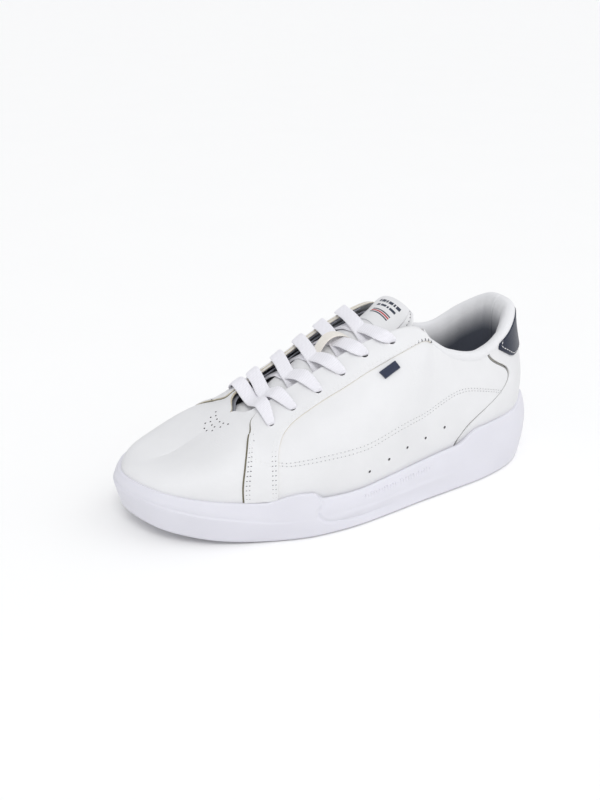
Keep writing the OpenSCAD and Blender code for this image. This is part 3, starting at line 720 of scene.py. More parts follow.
# ---------------------------------------------------------------- lines of the upper
# Points are (u, t) on the outer side, but JOINT and TAB give (t, u)
JOINT = [(-0.3, 9.02), (0, 9.05), (0.3, 9.1), (0.6, 9.05), (0.8, 8.9), (1, 8.75)]
HEEL_SEAM = [(3.98, SKIRT), (3.95, 0), (3.80, 0.09), (3.55, 0.19), (3.15, 0.275), (2.72, 0.335), (2.36, 0.40),
             (2.17, 0.48), (2.19, 0.58), (2.34, 0.68), (2.52, 0.78), (2.66, 0.87), (2.74, 0.94), (2.78, 1.0)]
BAND_FRONT = [(9.75, 0.012), (9.77, 0.15), (9.75, 0.3), (9.7, 0.5), (9.6, 0.66), (9.4, 0.78), (9.17, 0.9),
              (8.7, 0.985), (8.2, 0.99), (7.7, 0.99), (7.2, 0.99), (6.7, 0.99), (6.25, 0.985), (5.9, 0.97),
              (5.5, 0.975)]
BAND_REAR = [(8.95, 0.012), (8.95, 0.14), (8.93, 0.27), (8.87, 0.44), (8.77, 0.57), (8.64, 0.66),
             (8.45, 0.715), (8.2, 0.74), (7.9, 0.76), (7.5, 0.775), (7.1, 0.8), (6.7, 0.82), (6.3, 0.845),
             (5.9, 0.885), (5.35, 0.955)]
BAND_CROSS = [(9.66, 0.455), (9.3, 0.425), (9.02, 0.395)]
EYELETS = [(8.8, .8), (8.4, .83), (7.95, .85), (7.5, .88), (7.05, .92), (6.55, .93)]
EYELET_R = 2.2
VENT_R = 0.95
BREATHER_R = 0.62
SWELL = 0.12  # how far the quarters bulge past the leather's face
TAB_FOOT = 0.57  # t of the heel tab's lower edge
TAB_TOP = 1.15   # height of its face above the leather's
TAB = [(TAB_FOOT, 1.1), (0.60, 1.45), (0.66, 1.82), (0.72, 1.98), (0.83, 2.20), (0.93, 2.38), (1, 2.36)]
JOINT_GAP = 0.03  # in u, from the line where vamp and quarter meet to either one
THROAT_U = 10    # u of the throat's front end on the ridge line
VENTS = [(6.65, 0.10), (6.10, 0.13), (5.55, 0.17), (4.95, 0.205), (4.35, 0.25)]
WAVE = [(8.90, 0.385), (8.66, 0.34), (8.2, 0.30), (7.7, 0.28), (7.2, 0.272), (6.8, 0.275), (6.3, 0.30),
        (5.75, 0.34), (5.2, 0.40), (4.7, 0.48), (4.25, 0.55), (3.9, 0.59), (3.5, 0.60), (3.1, 0.55),
        (2.75, 0.46), (2.5, 0.37)]
TOP_D = 2.7     # the lace's middle above the upper's face, outside an eyelet
UNDER_D = -6.0  # and inside it


def seam_u(line, t):
    """u of a seam at height t; the seam's points rise all the way."""
    p = np.array(line)
    s = np.linspace(0, 1, 400)
    q = open_curve(p, s)
    return np.interp(t, np.maximum.accumulate(q[:, 1]), q[:, 0])


def spots_at(line, radius, above=2.0, below=2.4):
    u, t = np.array(line).T
    return [(p, n, radius, above, below) for p, n in zip(skin(u, t, 0), normal(u, t))]


def eyelet_spots(inner=False):
    return spots_at(mirrored(EYELETS) if inner else EYELETS, EYELET_R, 4, 9)


# ---------------------------------------------------------------- upper
def climb(low, rows_below, top, rows):
    """t from a hidden lower edge up to the top, with a row just on the sole."""
    return np.r_[np.linspace(low, -0.02, rows_below), np.linspace(0, top, rows)]


def quarter(name, inner):
    t = climb(SKIRT, 6, 1, 84)
    r = fine_steps(118, 0.006)
    back = seam_u(HEEL_SEAM, t)
    front = by_t(JOINT, t) - JOINT_GAP
    u = back[None, :] * (1 - r[:, None]) + front[None, :] * r[:, None]
    t = np.broadcast_to(t, u.shape)
    if inner:
        u, t = flipped(u, t)
    sides = (1, 0, 0, 1) if not inner else (0, 1, 0, 1)
    # the panel swells slightly between its seams, as stretched leather does
    obj = panel(name, u, t, -LEATHER, SWELL, [WHITE, RAW], None, "leather", sides, round_r=0.8)
    vents = mirrored(VENTS) if inner else VENTS
    cut(obj, punches(spots_at(vents, VENT_R) + eyelet_spots(inner)))
    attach(obj, "rearfoot")
    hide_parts(name)


def eyestay(name, inner):
    s = np.linspace(0, 1, 250)
    front, rear = open_curve(BAND_FRONT, s), open_curve(BAND_REAR, s)
    r = fine_steps(30, 0.016)
    grid = rear[::-1, None, :] * (1 - r[None, :, None]) + front[::-1, None, :] * r[None, :, None]
    u, t = grid[..., 0], grid[..., 1]
    if inner:
        u, t = flipped(u, t)
    obj = panel(name, u, t, 0.0, OVERLAY + 0.1, [WHITE, RAW], None, "leather", (1, 1, 1, 1), round_r=0.55)
    cut(obj, punches(eyelet_spots(inner)))
    across_flex(obj)
    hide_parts(name)


def ridge_shift(u, t, n, throat_rows):
    """Shift that rounds off the crease on the ridge line where the two sides of the toe meet."""
    base = skin(u, t, 0)
    out = normal(u, t)
    rows, w = u.shape
    i, c = np.meshgrid(np.arange(rows), np.arange(w), indexing="ij")
    away = np.minimum(np.abs(c - n), np.abs(c - n + 1)) / n
    ahead = (i - throat_rows) / (rows - throat_rows)
    weight = ease(0.50, 0.72, t) * ease(0, 0.10, (rows - 1 - i) / rows)
    near = np.where(ahead > 0, ease(0, 0.12, np.hypot(away, ahead)), ease(0.02, 0.25, away))
    weight = weight * near * ease(0, 0.08, i / rows)
    g = base.copy()
    panel_rise, spread = 75.0, 110  # mm from its lower edge to the ridge line, mm2 of smoothing
    for _ in range(int(spread * (n / panel_rise) ** 2)):
        g[throat_rows:, n] = g[throat_rows:, n - 1]
        left, right = np.roll(g, 1, axis=1), np.roll(g, -1, axis=1)
        right[:, n - 1], left[:, n] = g[:, n + 1], g[:, n - 2]
        mean = (left + right + np.roll(g, 1, axis=0) + np.roll(g, -1, axis=0)) / 4 - g
        g += (weight * 0.8 * (mean * out).sum(-1))[..., None] * out
    g[throat_rows:, n] = g[throat_rows:, n - 1]
    return g - base


def toe_panel(name, first, rows, throat_rows, cols, low, lo, hi, mats, cad_slot, holes=()):
    """Both halves of a panel round the toe, joined on the ridge line."""
    tt = np.r_[np.linspace(low, 1, cols + 1), np.linspace(1, low, cols + 1)]
    n = cols + 1
    w = 2 * n
    starts = first(tt)
    u = np.empty((rows + 1, w))
    for i in range(rows + 1):
        if i <= throat_rows:
            u[i] = starts + (THROAT_U - starts) * (i / throat_rows)
        else:
            u[i] = THROAT_U + (TOE - THROAT_U) * ((i - throat_rows) / (rows - throat_rows))
    u[:, n:] = LOOP - u[:, n:]
    t = np.broadcast_to(tt, u.shape)
    shift = ridge_shift(u, t, n, throat_rows)
    top, under = (skin(u, t, hi) + shift).reshape(-1, 3), (skin(u, t, lo) + shift).reshape(-1, 3)
    s = (rows + 1) * w

    def key(i, c):
        c = min(c, w - 1 - c) if i == rows else c
        c = n - 1 if i >= throat_rows and c == n else c
        return i * w + c

    faces, walls = [], []
    for i in range(rows):
        for c in range(w - 1):
            if c != n - 1:
                q = [key(i, c), key(i, c + 1), key(i + 1, c + 1), key(i + 1, c)]
                faces += [q, [s + k for k in q[::-1]]]
    for c in range(w - 1):
        if c != n - 1:
            walls.append((key(0, c), key(0, c + 1)))
    for i in range(rows):
        walls += [(key(i + 1, 0), key(i, 0)), (key(i, w - 1), key(i + 1, w - 1))]
    for i in range(throat_rows):
        walls += [(key(i, n - 1), key(i + 1, n - 1)), (key(i + 1, n), key(i, n))]
    faces += [[a, s + a, s + b, b] for a, b in walls]
    clean = []
    flags = []
    for k, q in enumerate(faces):
        q = list(dict.fromkeys(q))
        if len(q) >= 3:
            clean.append(q)
            flags.append(1 if k >= len(faces) - len(walls) else 0)
    points = np.concatenate([top, under])
    used = np.unique(np.concatenate([np.array(q) for q in clean]))
    remap = np.full(len(points), -1)
    remap[used] = np.arange(len(used))
    clean = [[int(remap[v]) for v in q] for q in clean]
    obj = build(name, points[used], clean, mats, None, cad_slot, flags if len(mats) > 1 else None)
    if len(holes):
        cut(obj, punches(holes))
    return obj


def toe_holes():
    """Three short rows of breathing holes in front of the throat."""
    spots = []
    for first, wide, count in ((80.5, 9.6, 6), (84.6, 7.6, 5), (88.7, 5.6, 4)):
        for k in range(count):
            f = 2 * k / (count - 1) - 1
            spots.append((first - 2.2 * f * f, f * wide))
    return spots


def top_point(x, y):
    """A point of the vamp's face above a place (x, y), found by stepping u and t towards it."""
    side_y = y - centre_y(x)
    us = np.linspace(9.3, 13, 150) if side_y >= 0 else np.linspace(13, 16.7, 150)
    uu, tt = np.meshgrid(us, np.linspace(0.45, 1, 120), indexing="ij")
    p = skin(uu, tt, 0)
    d = (p[..., 0] - x) ** 2 + (p[..., 1] - y) ** 2
    i, j = np.unravel_index(d.argmin(), d.shape)
    return p[i, j], normal(uu[i, j][None], tt[i, j][None])[0]


def vamp():
    spots = []
    for x, y in toe_holes():
        p, n = top_point(x, y + centre_y(x))
        spots.append((p, n, BREATHER_R, 2.0, 2.4))
    first = lambda t: by_t(JOINT, t) + JOINT_GAP
    obj = toe_panel("vamp", first, 96, 24, 84, SKIRT, -LEATHER, 0.0, [WHITE, RAW], "leather", spots)
    across_flex(obj)
    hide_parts("vamp")
    lining = toe_panel("vamp_lining", first, 30, 8, 30, LINING_SKIRT, LINING_BACK, LINING_FACE, [SHADE_DARKENED_LINING],
                       "lining")
    across_flex(lining)
    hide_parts("vamp_lining")


def heel():
    t = climb(SKIRT, 6, 1, 84)
    r = fine_steps(96, 0.008)
    back = seam_u(HEEL_SEAM, t)
    u = (2 * r[:, None] - 1) * (back[None, :] - 0.05)
    t = np.broadcast_to(t, u.shape)
    obj = panel("heel_panel", u, t, -LEATHER, 0.0, [WHITE, RAW], "rearfoot", "leather", (1, 1, 0, 1),
                round_r=0.9)
    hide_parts("heel_panel")
    tt = TAB_FOOT + (1 - TAB_FOOT) * fine_steps(44, 0.01)
    r = fine_steps(60, 0.01)
    u = (2 * r[:, None] - 1) * by_t(TAB, tt)[None, :]
    # the tab's lower edge is a shallow curve
    tt = tt[None, :] - 0.035 * (1 - (2 * r[:, None] - 1) ** 2) * (1 - ease(TAB_FOOT, 0.75, tt))[None, :]
    obj = panel("heel_tab", u, tt, 0.0, TAB_TOP, [NAVY, NAVY], "rearfoot", "heel_leather", round_r=0.6)
    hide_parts("heel_tab")


def collar():
    """Padded collar: leather rolls over the top edge, swells inwards and turns into the lining."""
    m, k = 320, 64
    us = np.linspace(-COLLAR_END, COLLAR_END, m)
    grow = ease(0, 0.10, np.minimum(np.arange(m), m - 1 - np.arange(m)) / m)
    # cross-section from the outer edge over the top and down inside: depth inwards, height from the top edge
    s = np.linspace(0, 1, k)
    depth = open_curve([0.15, 0.45, 2.2, 5.2, 7.4, 8.4, 8.5, 7.8, 6.9, 6.3], s)
    rise = open_curve([-1.2, 1.2, 2.9, 2.4, -1.0, -6.0, -12.0, -19.0, -27.0, -36.0], s)
    top = closed(EDGE, us)
    n = normal(us, np.full(m, 0.93))
    flat = unit(n * np.array([1, 1, 0.0]) + 1e-9)
    g = grow[:, None]
    # seam up the inside of the heel, and the soft unevenness of stuffed leather
    seam = 1.3 * np.exp(-(us / 0.045) ** 2)[:, None] * ease(0.16, 0.3, s)[None, :]
    puff = 1 + (0.035 * np.sin(us * 5.1) + 0.02 * np.sin(us * 11.3 + 1))[:, None] * g
    out = depth[None, :] * (0.35 + 0.65 * g) * puff - seam * g
    points = top[:, None, :] - flat[:, None, :] * out[..., None]
    points[..., 2] += rise[None, :] * (0.45 + 0.55 * g)
    tangent = unit(np.gradient(points, axis=1))
    along_edge = unit(np.gradient(points, axis=0))
    inner = points + np.cross(tangent, along_edge) * 0.75
    pts, faces, _ = shell(points, inner, True)
    tab_end, tab_edge, leather_edge = 2.34, 0.17, 0.34
    over_tab = (np.abs(us[:-1] + us[1:]) / 2 < tab_end)[:, None] & (s[:-1] < tab_edge)[None, :]
    mats = np.zeros(len(faces), np.int32)
    white = np.broadcast_to((s[:-1] < leather_edge)[None, :], over_tab.shape)
    mats[:over_tab.size] = np.where(over_tab, 1, np.where(white, 2, 0)).ravel()
    uv = np.stack(np.broadcast_arrays(us[:, None] / COLLAR_END, s[None, :]), -1).reshape(-1, 2)
    # the inside of the roll takes the collar lining with its painted shade
    obj = build("collar", pts, faces, [COLLAR, NAVY, WHITE], "rearfoot", "leather", mats,
                np.concatenate([uv, uv]))
    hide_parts("collar_roll")


def lining():
    us = np.linspace(-8.55, 8.55, 240)
    tt = climb(LINING_SKIRT, 4, 0.93, 60)
    u, t = np.meshgrid(us, tt, indexing="ij")
    obj = panel("quarter_lining", u, t, LINING_BACK, LINING_FACE, [SHADE_DARKENED_LINING], None, "lining", (0, 0, 0, 0),
                lo_pad=1, hi_pad=1)
    cut(obj, punches(eyelet_spots() + eyelet_spots(True)))
    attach(obj, "rearfoot")
    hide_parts("quarter_lining")


def seam_strip(name, line, shift, width, depth, mat, body):
    """Narrow strip along a (u, t) line on both sides of the shoe: the painted shadow of a seam or an edge, or
    a raw edge.
    """
    parts = []
    rise = 0.12
    for side_of in (list, mirrored):
        fine = open_curve(side_of(line), np.linspace(0, 1, 240))
        p = skin(fine[:, 0], fine[:, 1], depth)
        n = normal(fine[:, 0], fine[:, 1])
        across = unit(np.cross(n, unit(np.gradient(p, axis=0))))
        if side_of is mirrored:
            across = -across
        p = p + across * shift
        rows = []
        for a, b in ((-0.5, 0.0), (-0.25, rise), (0.25, rise), (0.5, 0.0)):
            rows.append(p + across * a * width + n * b)
        top = np.stack(rows, 1)
        points, faces, _ = shell(top, top - n[:, None, :] * 0.35, side_of is list)
        parts.append((points, faces, 0))
    join_parts(name, parts, [mat], body, "leather")


def seams():
    # painted shadow along the heel seam
    seam_strip("heel_seam_groove", HEEL_SEAM[1:], 0.0, 1.0, -0.15, SEAM_SHADOW_PAINT, "rearfoot")
    # painted shadow at the foot of the eyestay's front edge
    seam_strip("band_front_edge", BAND_FRONT[:8], 0.45, 1.0, 0.10, EDGE_SHADOW_PAINT, None)
    seam_strip("band_rear_edge", BAND_REAR, 0.30, 0.5, 0.16, RAW, None)


def stitching():
    """Every seam's thread above the sole, in one object."""
    lines = [between(BAND_FRONT, BAND_REAR, f)[:ends] for f, ends in ((0.075, 8), (0.165, 7))]
    lines += [between(BAND_FRONT, BAND_REAR, f) for f in (0.935, 0.845)]
    lines += [raised(BAND_CROSS, rise) for rise in (0, -0.03)]
    rows, faint = [], []
    for side_of in (list, mirrored):
        rows += [(side_of(line), OVERLAY) for line in lines]
        faint += [(side_of(raised(WAVE, rise)), SWELL) for rise in (-0.016, 0.016)]
    rows += [([(side * (w - 0.12), t) for t, w in TAB], TAB_TOP) for side in (1, -1)]
    parts = []
    for uv, depth in rows:
        parts += stitch_row(uv, depth)
    for uv, depth in faint:
        row_of = stitch_row(uv, depth, 2.5, 1.7, 0.28, 0.30)
        parts += [(p, f, 2 if k == 1 else 0) for p, f, k in row_of]
    join_parts("stitching", parts, [THREAD, NEEDLE, FAINT], None, "leather")


# ---------------------------------------------------------------- sole
TREAD = 1.4
BOARD_LOW, BOARD_TOP = 15.4, 16.8


def lift(x):
    return 12 * np.clip((x - 60) / 85, 0, 1) ** 2 + np.clip((-115 - x) / 30, 0, 1) ** 2


CUP_TOP = [31.9, 31.8, 31.8, 31.8, 31.2, 28.6, 26.2, 24.2, 24.8, 26.4, 28.2, 30.8, 34.0, 35.5]
RIDGE = [17, 17, 16, 15, 14, 13, 12.5, 12, 12.5, 14.0, 18.2, 22.2, 26.8, 28.5]
CREASE = [(7.99, 27), (7.92, 22), (8.02, 16.5), (7.86, 11), (7.5, 8.2), (7.0, 7.2), (6.4, 7.2), (5.8, 7.6)]
UNIT_MM = 25.5


def cup_top(u):
    """Height of the sidewall's lip, with its step up round the heel and its hump behind the toe's bumper."""
    k = station(u)
    hump = 4.6 * (1 - ease(8.4, 9.3, k)) * ease(7.8, 8.15, k) + 7.2 * (1 - ease(3.3, 3.98, k))
    return closed(ring(CUP_TOP, CUP_TOP), u) + hump


def crease(u, z):
    """0 to 1 along the moulded crease that runs down from the hump and back along the waist."""
    path = np.array([(a * UNIT_MM, b) for a, b in CREASE])
    path = open_curve(path, np.linspace(0, 1, 60))
    p = np.stack([station(u) * UNIT_MM, z], -1)
    best = np.full(p.shape[:-1], 99.0)
    for a, b in zip(path[:-1], path[1:]):
        f = np.clip(((p - a) @ (b - a)) / ((b - a) @ (b - a)), 0, 1)
        best = np.minimum(best, np.linalg.norm(p - a - f[..., None] * (b - a), axis=-1))
    return np.exp(-(best / 0.95) ** 2) * ease(5.8, 6.6, station(u))


def sole_profile(u, x):
    """Rings of the cupsole from its bottom edge over the wall and down inside, as (inset, z) at every u."""
    k = station(u)
    floor = lift(x)
    low = floor + 1.6
    top = cup_top(u)
    toe = ease(8.0, 9.6, k)
    heel_end = 1 - ease(1.2, 3.2, k)
    waist = ease(3.6, 5.0, k) * (1 - ease(7.2, 7.8, k))
    ridge = closed(ring(RIDGE, RIDGE), u)
    tuck = 1.2 + 2.2 * toe + 0.8 * heel_end
    lean = 1.5 + 1.2 * toe + 1.9 * heel_end
    rings = [(tuck + d, floor + z) for d, z in ((6.2, 1.5), (5.9, 0.5), (3.0, 0.22), (1.3, 0.35), (0.6, 0.8))]
    for f in np.linspace(0.0, 1, 14):
        bow = tuck * (1 - f) ** 1.6 + 0.5 * toe * math.sin(math.pi * f) + 0.9 * waist * math.sin(math.pi * f)
        rings.append((bow, low + (ridge - low) * f))
    rings += [(0.10 * toe, ridge + 0.35), (0.75 * toe, ridge + 0.8), (0.85 * toe, ridge + 1.4)]
    for f in np.linspace(0.08, 1, 16):
        swell = 0.55 * math.sin(math.pi * f) * (1 - toe)
        sunk = 0.9 * waist * math.cos(0.5 * math.pi * f) * 0.5
        depth = 0.8 * toe * (1 - f) + lean * f ** 1.5 - swell + sunk
        rings.append((depth, ridge + 1.4 + (top - 0.9 - ridge - 1.4) * f))
    lip = ((0.22, 0.42), (0.6, 0.12), (1.1, 0), (1.9, 0.05), (2.6, 0.35), (3.4, 1.6))
    rings += [(lean + d, top - z) for d, z in lip] + [(4.9 + 0.5 * toe, top - 5.0)]
    out = []
    for d, z in rings:
        z = np.broadcast_to(z, u.shape)
        outer = (z > low - 0.2) & (z < top - 0.3)
        out.append((np.broadcast_to(d, u.shape) + np.where(outer, 0.85 * crease(u, z), 0), z))
    return out


def cupsole():
    m = 900
    # more stations at the heel and the toe, where the outline turns fastest
    base = np.linspace(0, LOOP, m, endpoint=False)
    us = base - 0.22 * np.sin(base / LOOP * 4 * np.pi)
    x = closed(OUTLINE, us)[:, 0]
    loops = []
    for d, z in sole_profile(us, x):
        p = inset(us, np.broadcast_to(d, us.shape))
        loops.append(np.concatenate([p, np.broadcast_to(z, us.shape)[:, None]], 1))
    p = inset(us, np.full(m, 4.5))
    loops.append(np.concatenate([p, (5.0 + lift(x))[:, None]], 1))
    obj = build("cupsole", *stacked(np.array(loops)), [SOLE], None, "sole_rubber", sharp=50)
    across_flex(obj)
    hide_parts("cupsole_rear", "cupsole_front")


def tread_height(x, y):
    """0 to 1: herringbone ribs, a pivot ring under the ball and lengthwise flutes at the waist; tread() adds
    the plain rim.
    """
    zig = np.abs(np.mod(y / 9.0, 2) - 1) * 5.2
    rib = ease(0.16, 0.26, np.abs(np.mod((x + zig) / 5.6, 1) - 0.5))
    waist = ease(-42, -34, x) * (1 - ease(2, 10, x))
    flute = ease(0.16, 0.26, np.abs(np.mod(y / 6.5, 1) - 0.5))
    h = rib * (1 - waist) + flute * waist
    r = np.hypot(x - 52, y - 4)
    disc_w = 1 - ease(20.5, 21.0, r)
    rings = ease(0.2, 0.32, np.abs(np.mod(r / 4.6, 1) - 0.5))
    return h * (1 - disc_w) + rings * disc_w


def tread():
    """The tread's lowest faces lie on the ground; its grooves are cut up towards the cupsole."""
    nx, ny = 400, 150
    us = np.linspace(0, TOE, 800)
    deep = 7.2 + 2.2 * ease(8.0, 9.6, us) + 0.8 * (1 - ease(1.2, 3.2, us))
    outer, inner = inset(us, deep), inset(LOOP - us, deep)
    xs = np.linspace(outer[0, 0] + 0.05, outer[-1, 0] - 0.05, nx)
    order = np.maximum.accumulate(outer[:, 0])
    y_hi = np.interp(xs, order, outer[:, 1])
    y_lo = np.interp(xs, np.maximum.accumulate(inner[:, 0]), inner[:, 1])
    f = np.linspace(0, 1, ny)
    x = np.broadcast_to(xs[:, None], (nx, ny))
    y = y_lo[:, None] * (1 - f) + y_hi[:, None] * f
    edge = np.minimum(np.minimum(y - y_lo[:, None], y_hi[:, None] - y),
                      np.minimum(x - xs[0], xs[-1] - x))
    h = np.maximum(tread_height(x, y), 1 - ease(4.0, 4.6, edge))
    base = lift(x)
    z = base + (1 - h) * (TREAD - 0.25) + 0.25 * (1 - ease(0, 0.6, edge))
    under = np.stack([x, y, z], -1)
    roof = np.stack([x, y, base + TREAD + 0.02], -1)
    points, faces, _ = shell(roof, under, True)
    obj = build("tread", points, faces, [SOLE], None, "sole_rubber", sharp=30)
    across_flex(obj)
    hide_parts("tread_rear", "tread_front")


def wall_marks():
    """Generic raised ribs where the real sidewall carries lettering."""
    parts = []

    def bar(u, z0, z1, width, rise=0.4, back=0.0):
        n = np.append(outward(np.array([u]))[0], 0)
        run = np.array([n[1], -n[0], 0])
        p = np.append(closed(OUTLINE, np.array([u]))[0], 0) - n * back
        up = np.array([0, 0, 1.0])
        centre = p + up * (z0 + z1) / 2
        points = []
        for d, w, h in ((-1.2, 1.0, 1.0), (rise * 0.6, 1.0, 1.0), (rise, 0.55, 0.84)):
            for a, b in ((-1, -1), (1, -1), (1, 1), (-1, 1)):
                points.append(centre + run * (a * width / 2 * w) + up * (b * (z1 - z0) / 2 * h) + n * d)
        return np.array(points), [q[::-1] for q in tube_faces(3, 4)]

    heights = (3.6, 2.4, 3.6, 3.6, 2.4)
    for k in range(25):
        if k == 12:
            continue
        u = 6.78 - 0.083 * k
        z = 19.4 + (6.81 - u) * 1.75
        h = heights[k % 5] / 2
        for v in (u, LOOP - u):
            parts.append((*bar(v, z - h, z + h, 0.95, 0.35, 0.55), 0))
    join_parts("wall_ribs", parts, [SOLE], "rearfoot", "sole_rubber")


def inside():
    """Insole with its cloth top dished to the foot."""
    m, k = 220, 26
    us = np.linspace(0, LOOP, m, endpoint=False)
    loops = []
    for f in np.linspace(0, 0.9, k):
        p = inset(us, np.full(m, 10.0))
        spine = np.stack([np.clip(p[:, 0], -105, 105), centre_y(p[:, 0])], 1)
        mid = p * (1 - f) + spine * f
        rise = 21.0 + 3.2 * (1 - f) ** 3 * (1 - ease(60, 120, p[:, 0])) - 0.9 * ease(0, 0.5, f)
        rise = rise - 0.5 * ease(0, 0.05, 0.05 - f)
        loops.append(np.concatenate([mid, rise[:, None]], 1))
    foot = loops[0].copy()
    foot[:, 2] = BOARD_TOP + 0.3
    obj = build("insole", *stacked(np.array([foot] + loops)), [DARK], None, "insole_cloth")
    across_flex(obj)
    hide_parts("insole")


def board():
    """Lasting board: a plain flat fibre sheet."""
    n = 200
    us = np.linspace(0, LOOP, n, endpoint=False)
    p = inset(us, np.full(n, 6.6))
    grid = np.array([np.c_[p, np.full(n, z)] for z in (BOARD_LOW, BOARD_TOP)])
    obj = build("lasting_board", *stacked(grid), [BOARD], None, "board")
    across_flex(obj)
    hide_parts("lasting_board")


# ---------------------------------------------------------------- tongue
TONGUE_X = [70, 56, 40, 22, 6, -8, -20, -30, -37, -41]
TONGUE_Z = [55, 66, 77.5, 88, 95.8, 101.5, 106.4, 111.8, 116.2, 117.6]
TONGUE_W = [10.5, 14.5, 18, 21.3, 24.4, 25, 25, 24.5, 23, 17]
TONGUE_DROP = [3, 4.5, 7, 9.3, 9.8, 10, 12.5, 10.5, 6, 3]
TONGUE_N = len(TONGUE_X) - 1
TONGUE_STEP = 14.0  # mm of tongue from one of these stations to the next
TONGUE_SEAM = 4.0   # from its edge to its stitched channel


def tongue_at(s, v, d):
    """Point of the tongue: s from the throat (0) to its tip (9), v across (-1 to 1), d out of its face."""
    s, v, d = np.broadcast_arrays(np.asarray(s, float), np.asarray(v, float), np.asarray(d, float))
    at = lambda list_, q: open_curve(list_, q / TONGUE_N)
    e = 0.02
    x, z = at(TONGUE_X, s), at(TONGUE_Z, s)
    dx = at(TONGUE_X, np.minimum(s + e, TONGUE_N)) - at(TONGUE_X, np.maximum(s - e, 0))
    dz = at(TONGUE_Z, np.minimum(s + e, TONGUE_N)) - at(TONGUE_Z, np.maximum(s - e, 0))
    n = unit(np.stack([dz, 0 * dz, -dx], -1))
    y = centre_y(x) + v * at(TONGUE_W, s)
    n = unit(n + np.stack([0 * v, v * 0.45, 0 * v], -1))
    p = np.stack([x, y, z - v * v * at(TONGUE_DROP, s)], -1)
    return p + d[..., None] * n


def tongue():
    """Padded tongue: a closed cushion of leather over foam, pinched along its stitched border."""
    m, n = 170, 74
    s = np.linspace(0.25, TONGUE_N, m)
    v = np.linspace(-1, 1, n)
    ss, vv = np.meshgrid(s, v, indexing="ij")
    along_mm = (TONGUE_N - ss) * TONGUE_STEP
    side_mm = (1 - np.abs(vv)) * open_curve(TONGUE_W, ss / TONGUE_N)
    rim = np.minimum(along_mm, side_mm)
    # the border is pressed flat, the stitched channel is a groove, and the middle is full
    full = ease(0, 1.5, rim) * 0.9 + ease(3.6, 10, rim) * 1.5 - 0.7 * np.exp(-((rim - TONGUE_SEAM) / 0.8) ** 2)
    wrinkle = 0.28 * np.sin(ss * 5.0 + 1.3 * np.sin(vv * 3)) * ease(6, 12, rim) * ease(1, 3, ss)
    top = tongue_at(ss, vv, -1.4 + full + wrinkle)
    low = tongue_at(ss, vv, -3.0 - 2.6 * ease(0, 8, rim))
    points, faces, flags = shell(top, low, True)
    obj = build("tongue", points, faces, [WHITE, WHITE], "tongue", "leather", flags)
    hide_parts("tongue_skin", "tongue_foam")
    lining_low = tongue_at(ss * 0.985 + 0.05, vv * 0.96, -3.8 - 2.7 * ease(0, 8, rim))
    lining_top = tongue_at(ss * 0.985 + 0.05, vv * 0.96, -3.3 - 2.6 * ease(0, 8, rim))
    points, faces, _ = shell(lining_top, lining_low, True)
    obj = build("tongue_lining", points, faces, [SHADE_DARKENED_LINING], "tongue", "lining")
    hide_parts("tongue_lining")
    tongue_root()
    stitch_tongue()


def tongue_root():
    """The tongue's front end, sewn under the vamp ahead of its hinge line."""
    x, v = np.meshgrid(np.linspace(59.5, 84, 40), np.linspace(-1, 1, 40), indexing="ij")
    z = np.interp(x, [59, 64, 68, 73, 84], [64.6, 62.8, 60.6, 57.2, 50.2]) - v * v * 3.0
    y = centre_y(x) + v * np.interp(x, [66, 84], [14, 12])
    top = np.stack([x, y, z], -1)
    points, faces, _ = shell(top, top - np.array([0, 0, 1.2]))
    obj = build("tongue_root", points, faces, [WHITE], "forefoot", "leather")
    if np.array([p.normal.z for p in obj.data.polygons]).sum() < 0:
        obj.data.flip_normals()


def stitch_tongue():
    parts = []
    s = np.linspace(1.2, TONGUE_N, 400)
    width = open_curve(TONGUE_W, s / TONGUE_N)
    keep = (TONGUE_N - s) * TONGUE_STEP > TONGUE_SEAM
    v = 1 - TONGUE_SEAM / np.maximum(width, 5)
    right = tongue_at(s[keep], v[keep], -0.95)
    left = tongue_at(s[keep], -v[keep], -0.95)
    f = np.linspace(-1, 1, 60)
    top_s = np.full(60, TONGUE_N - TONGUE_SEAM / TONGUE_STEP)
    v_end = v[keep][-1]
    over = tongue_at(top_s, -f * v_end, -0.95)
    path = np.concatenate([right, over, left[::-1]])
    marks = even(path, 2.7)
    for p, q in zip(marks[:-1], marks[1:]):
        run = unit(q - p)
        up = unit(np.array([0.45, 0, 1.0]) - run * np.dot(run, [0.45, 0, 1.0]))
        parts.append((*capsule((p + q) / 2 + up * 0.05, run, up, 1.75, 0.28), 0))
        parts.append((*disc(q, up, 0.33, 0.05), 1))
    join_parts("tongue_stitching", parts, [THREAD, NEEDLE], "tongue", "leather")


def strip_sheet(name, s0, s1, v0, v1, lo, hi, mat, body, cad_slot, m, n):
    s, v = np.meshgrid(np.linspace(s0, s1, m), np.linspace(v0, v1, n), indexing="ij")
    points, faces, _ = shell(tongue_at(s, v, hi), tongue_at(s, v, lo), True)
    uv = np.stack([(v - v0) / (v1 - v0), (s - s0) / (s1 - s0)], -1).reshape(-1, 2)
    return build(name, points, faces, [mat], body, cad_slot, uvs=np.concatenate([uv, uv]))


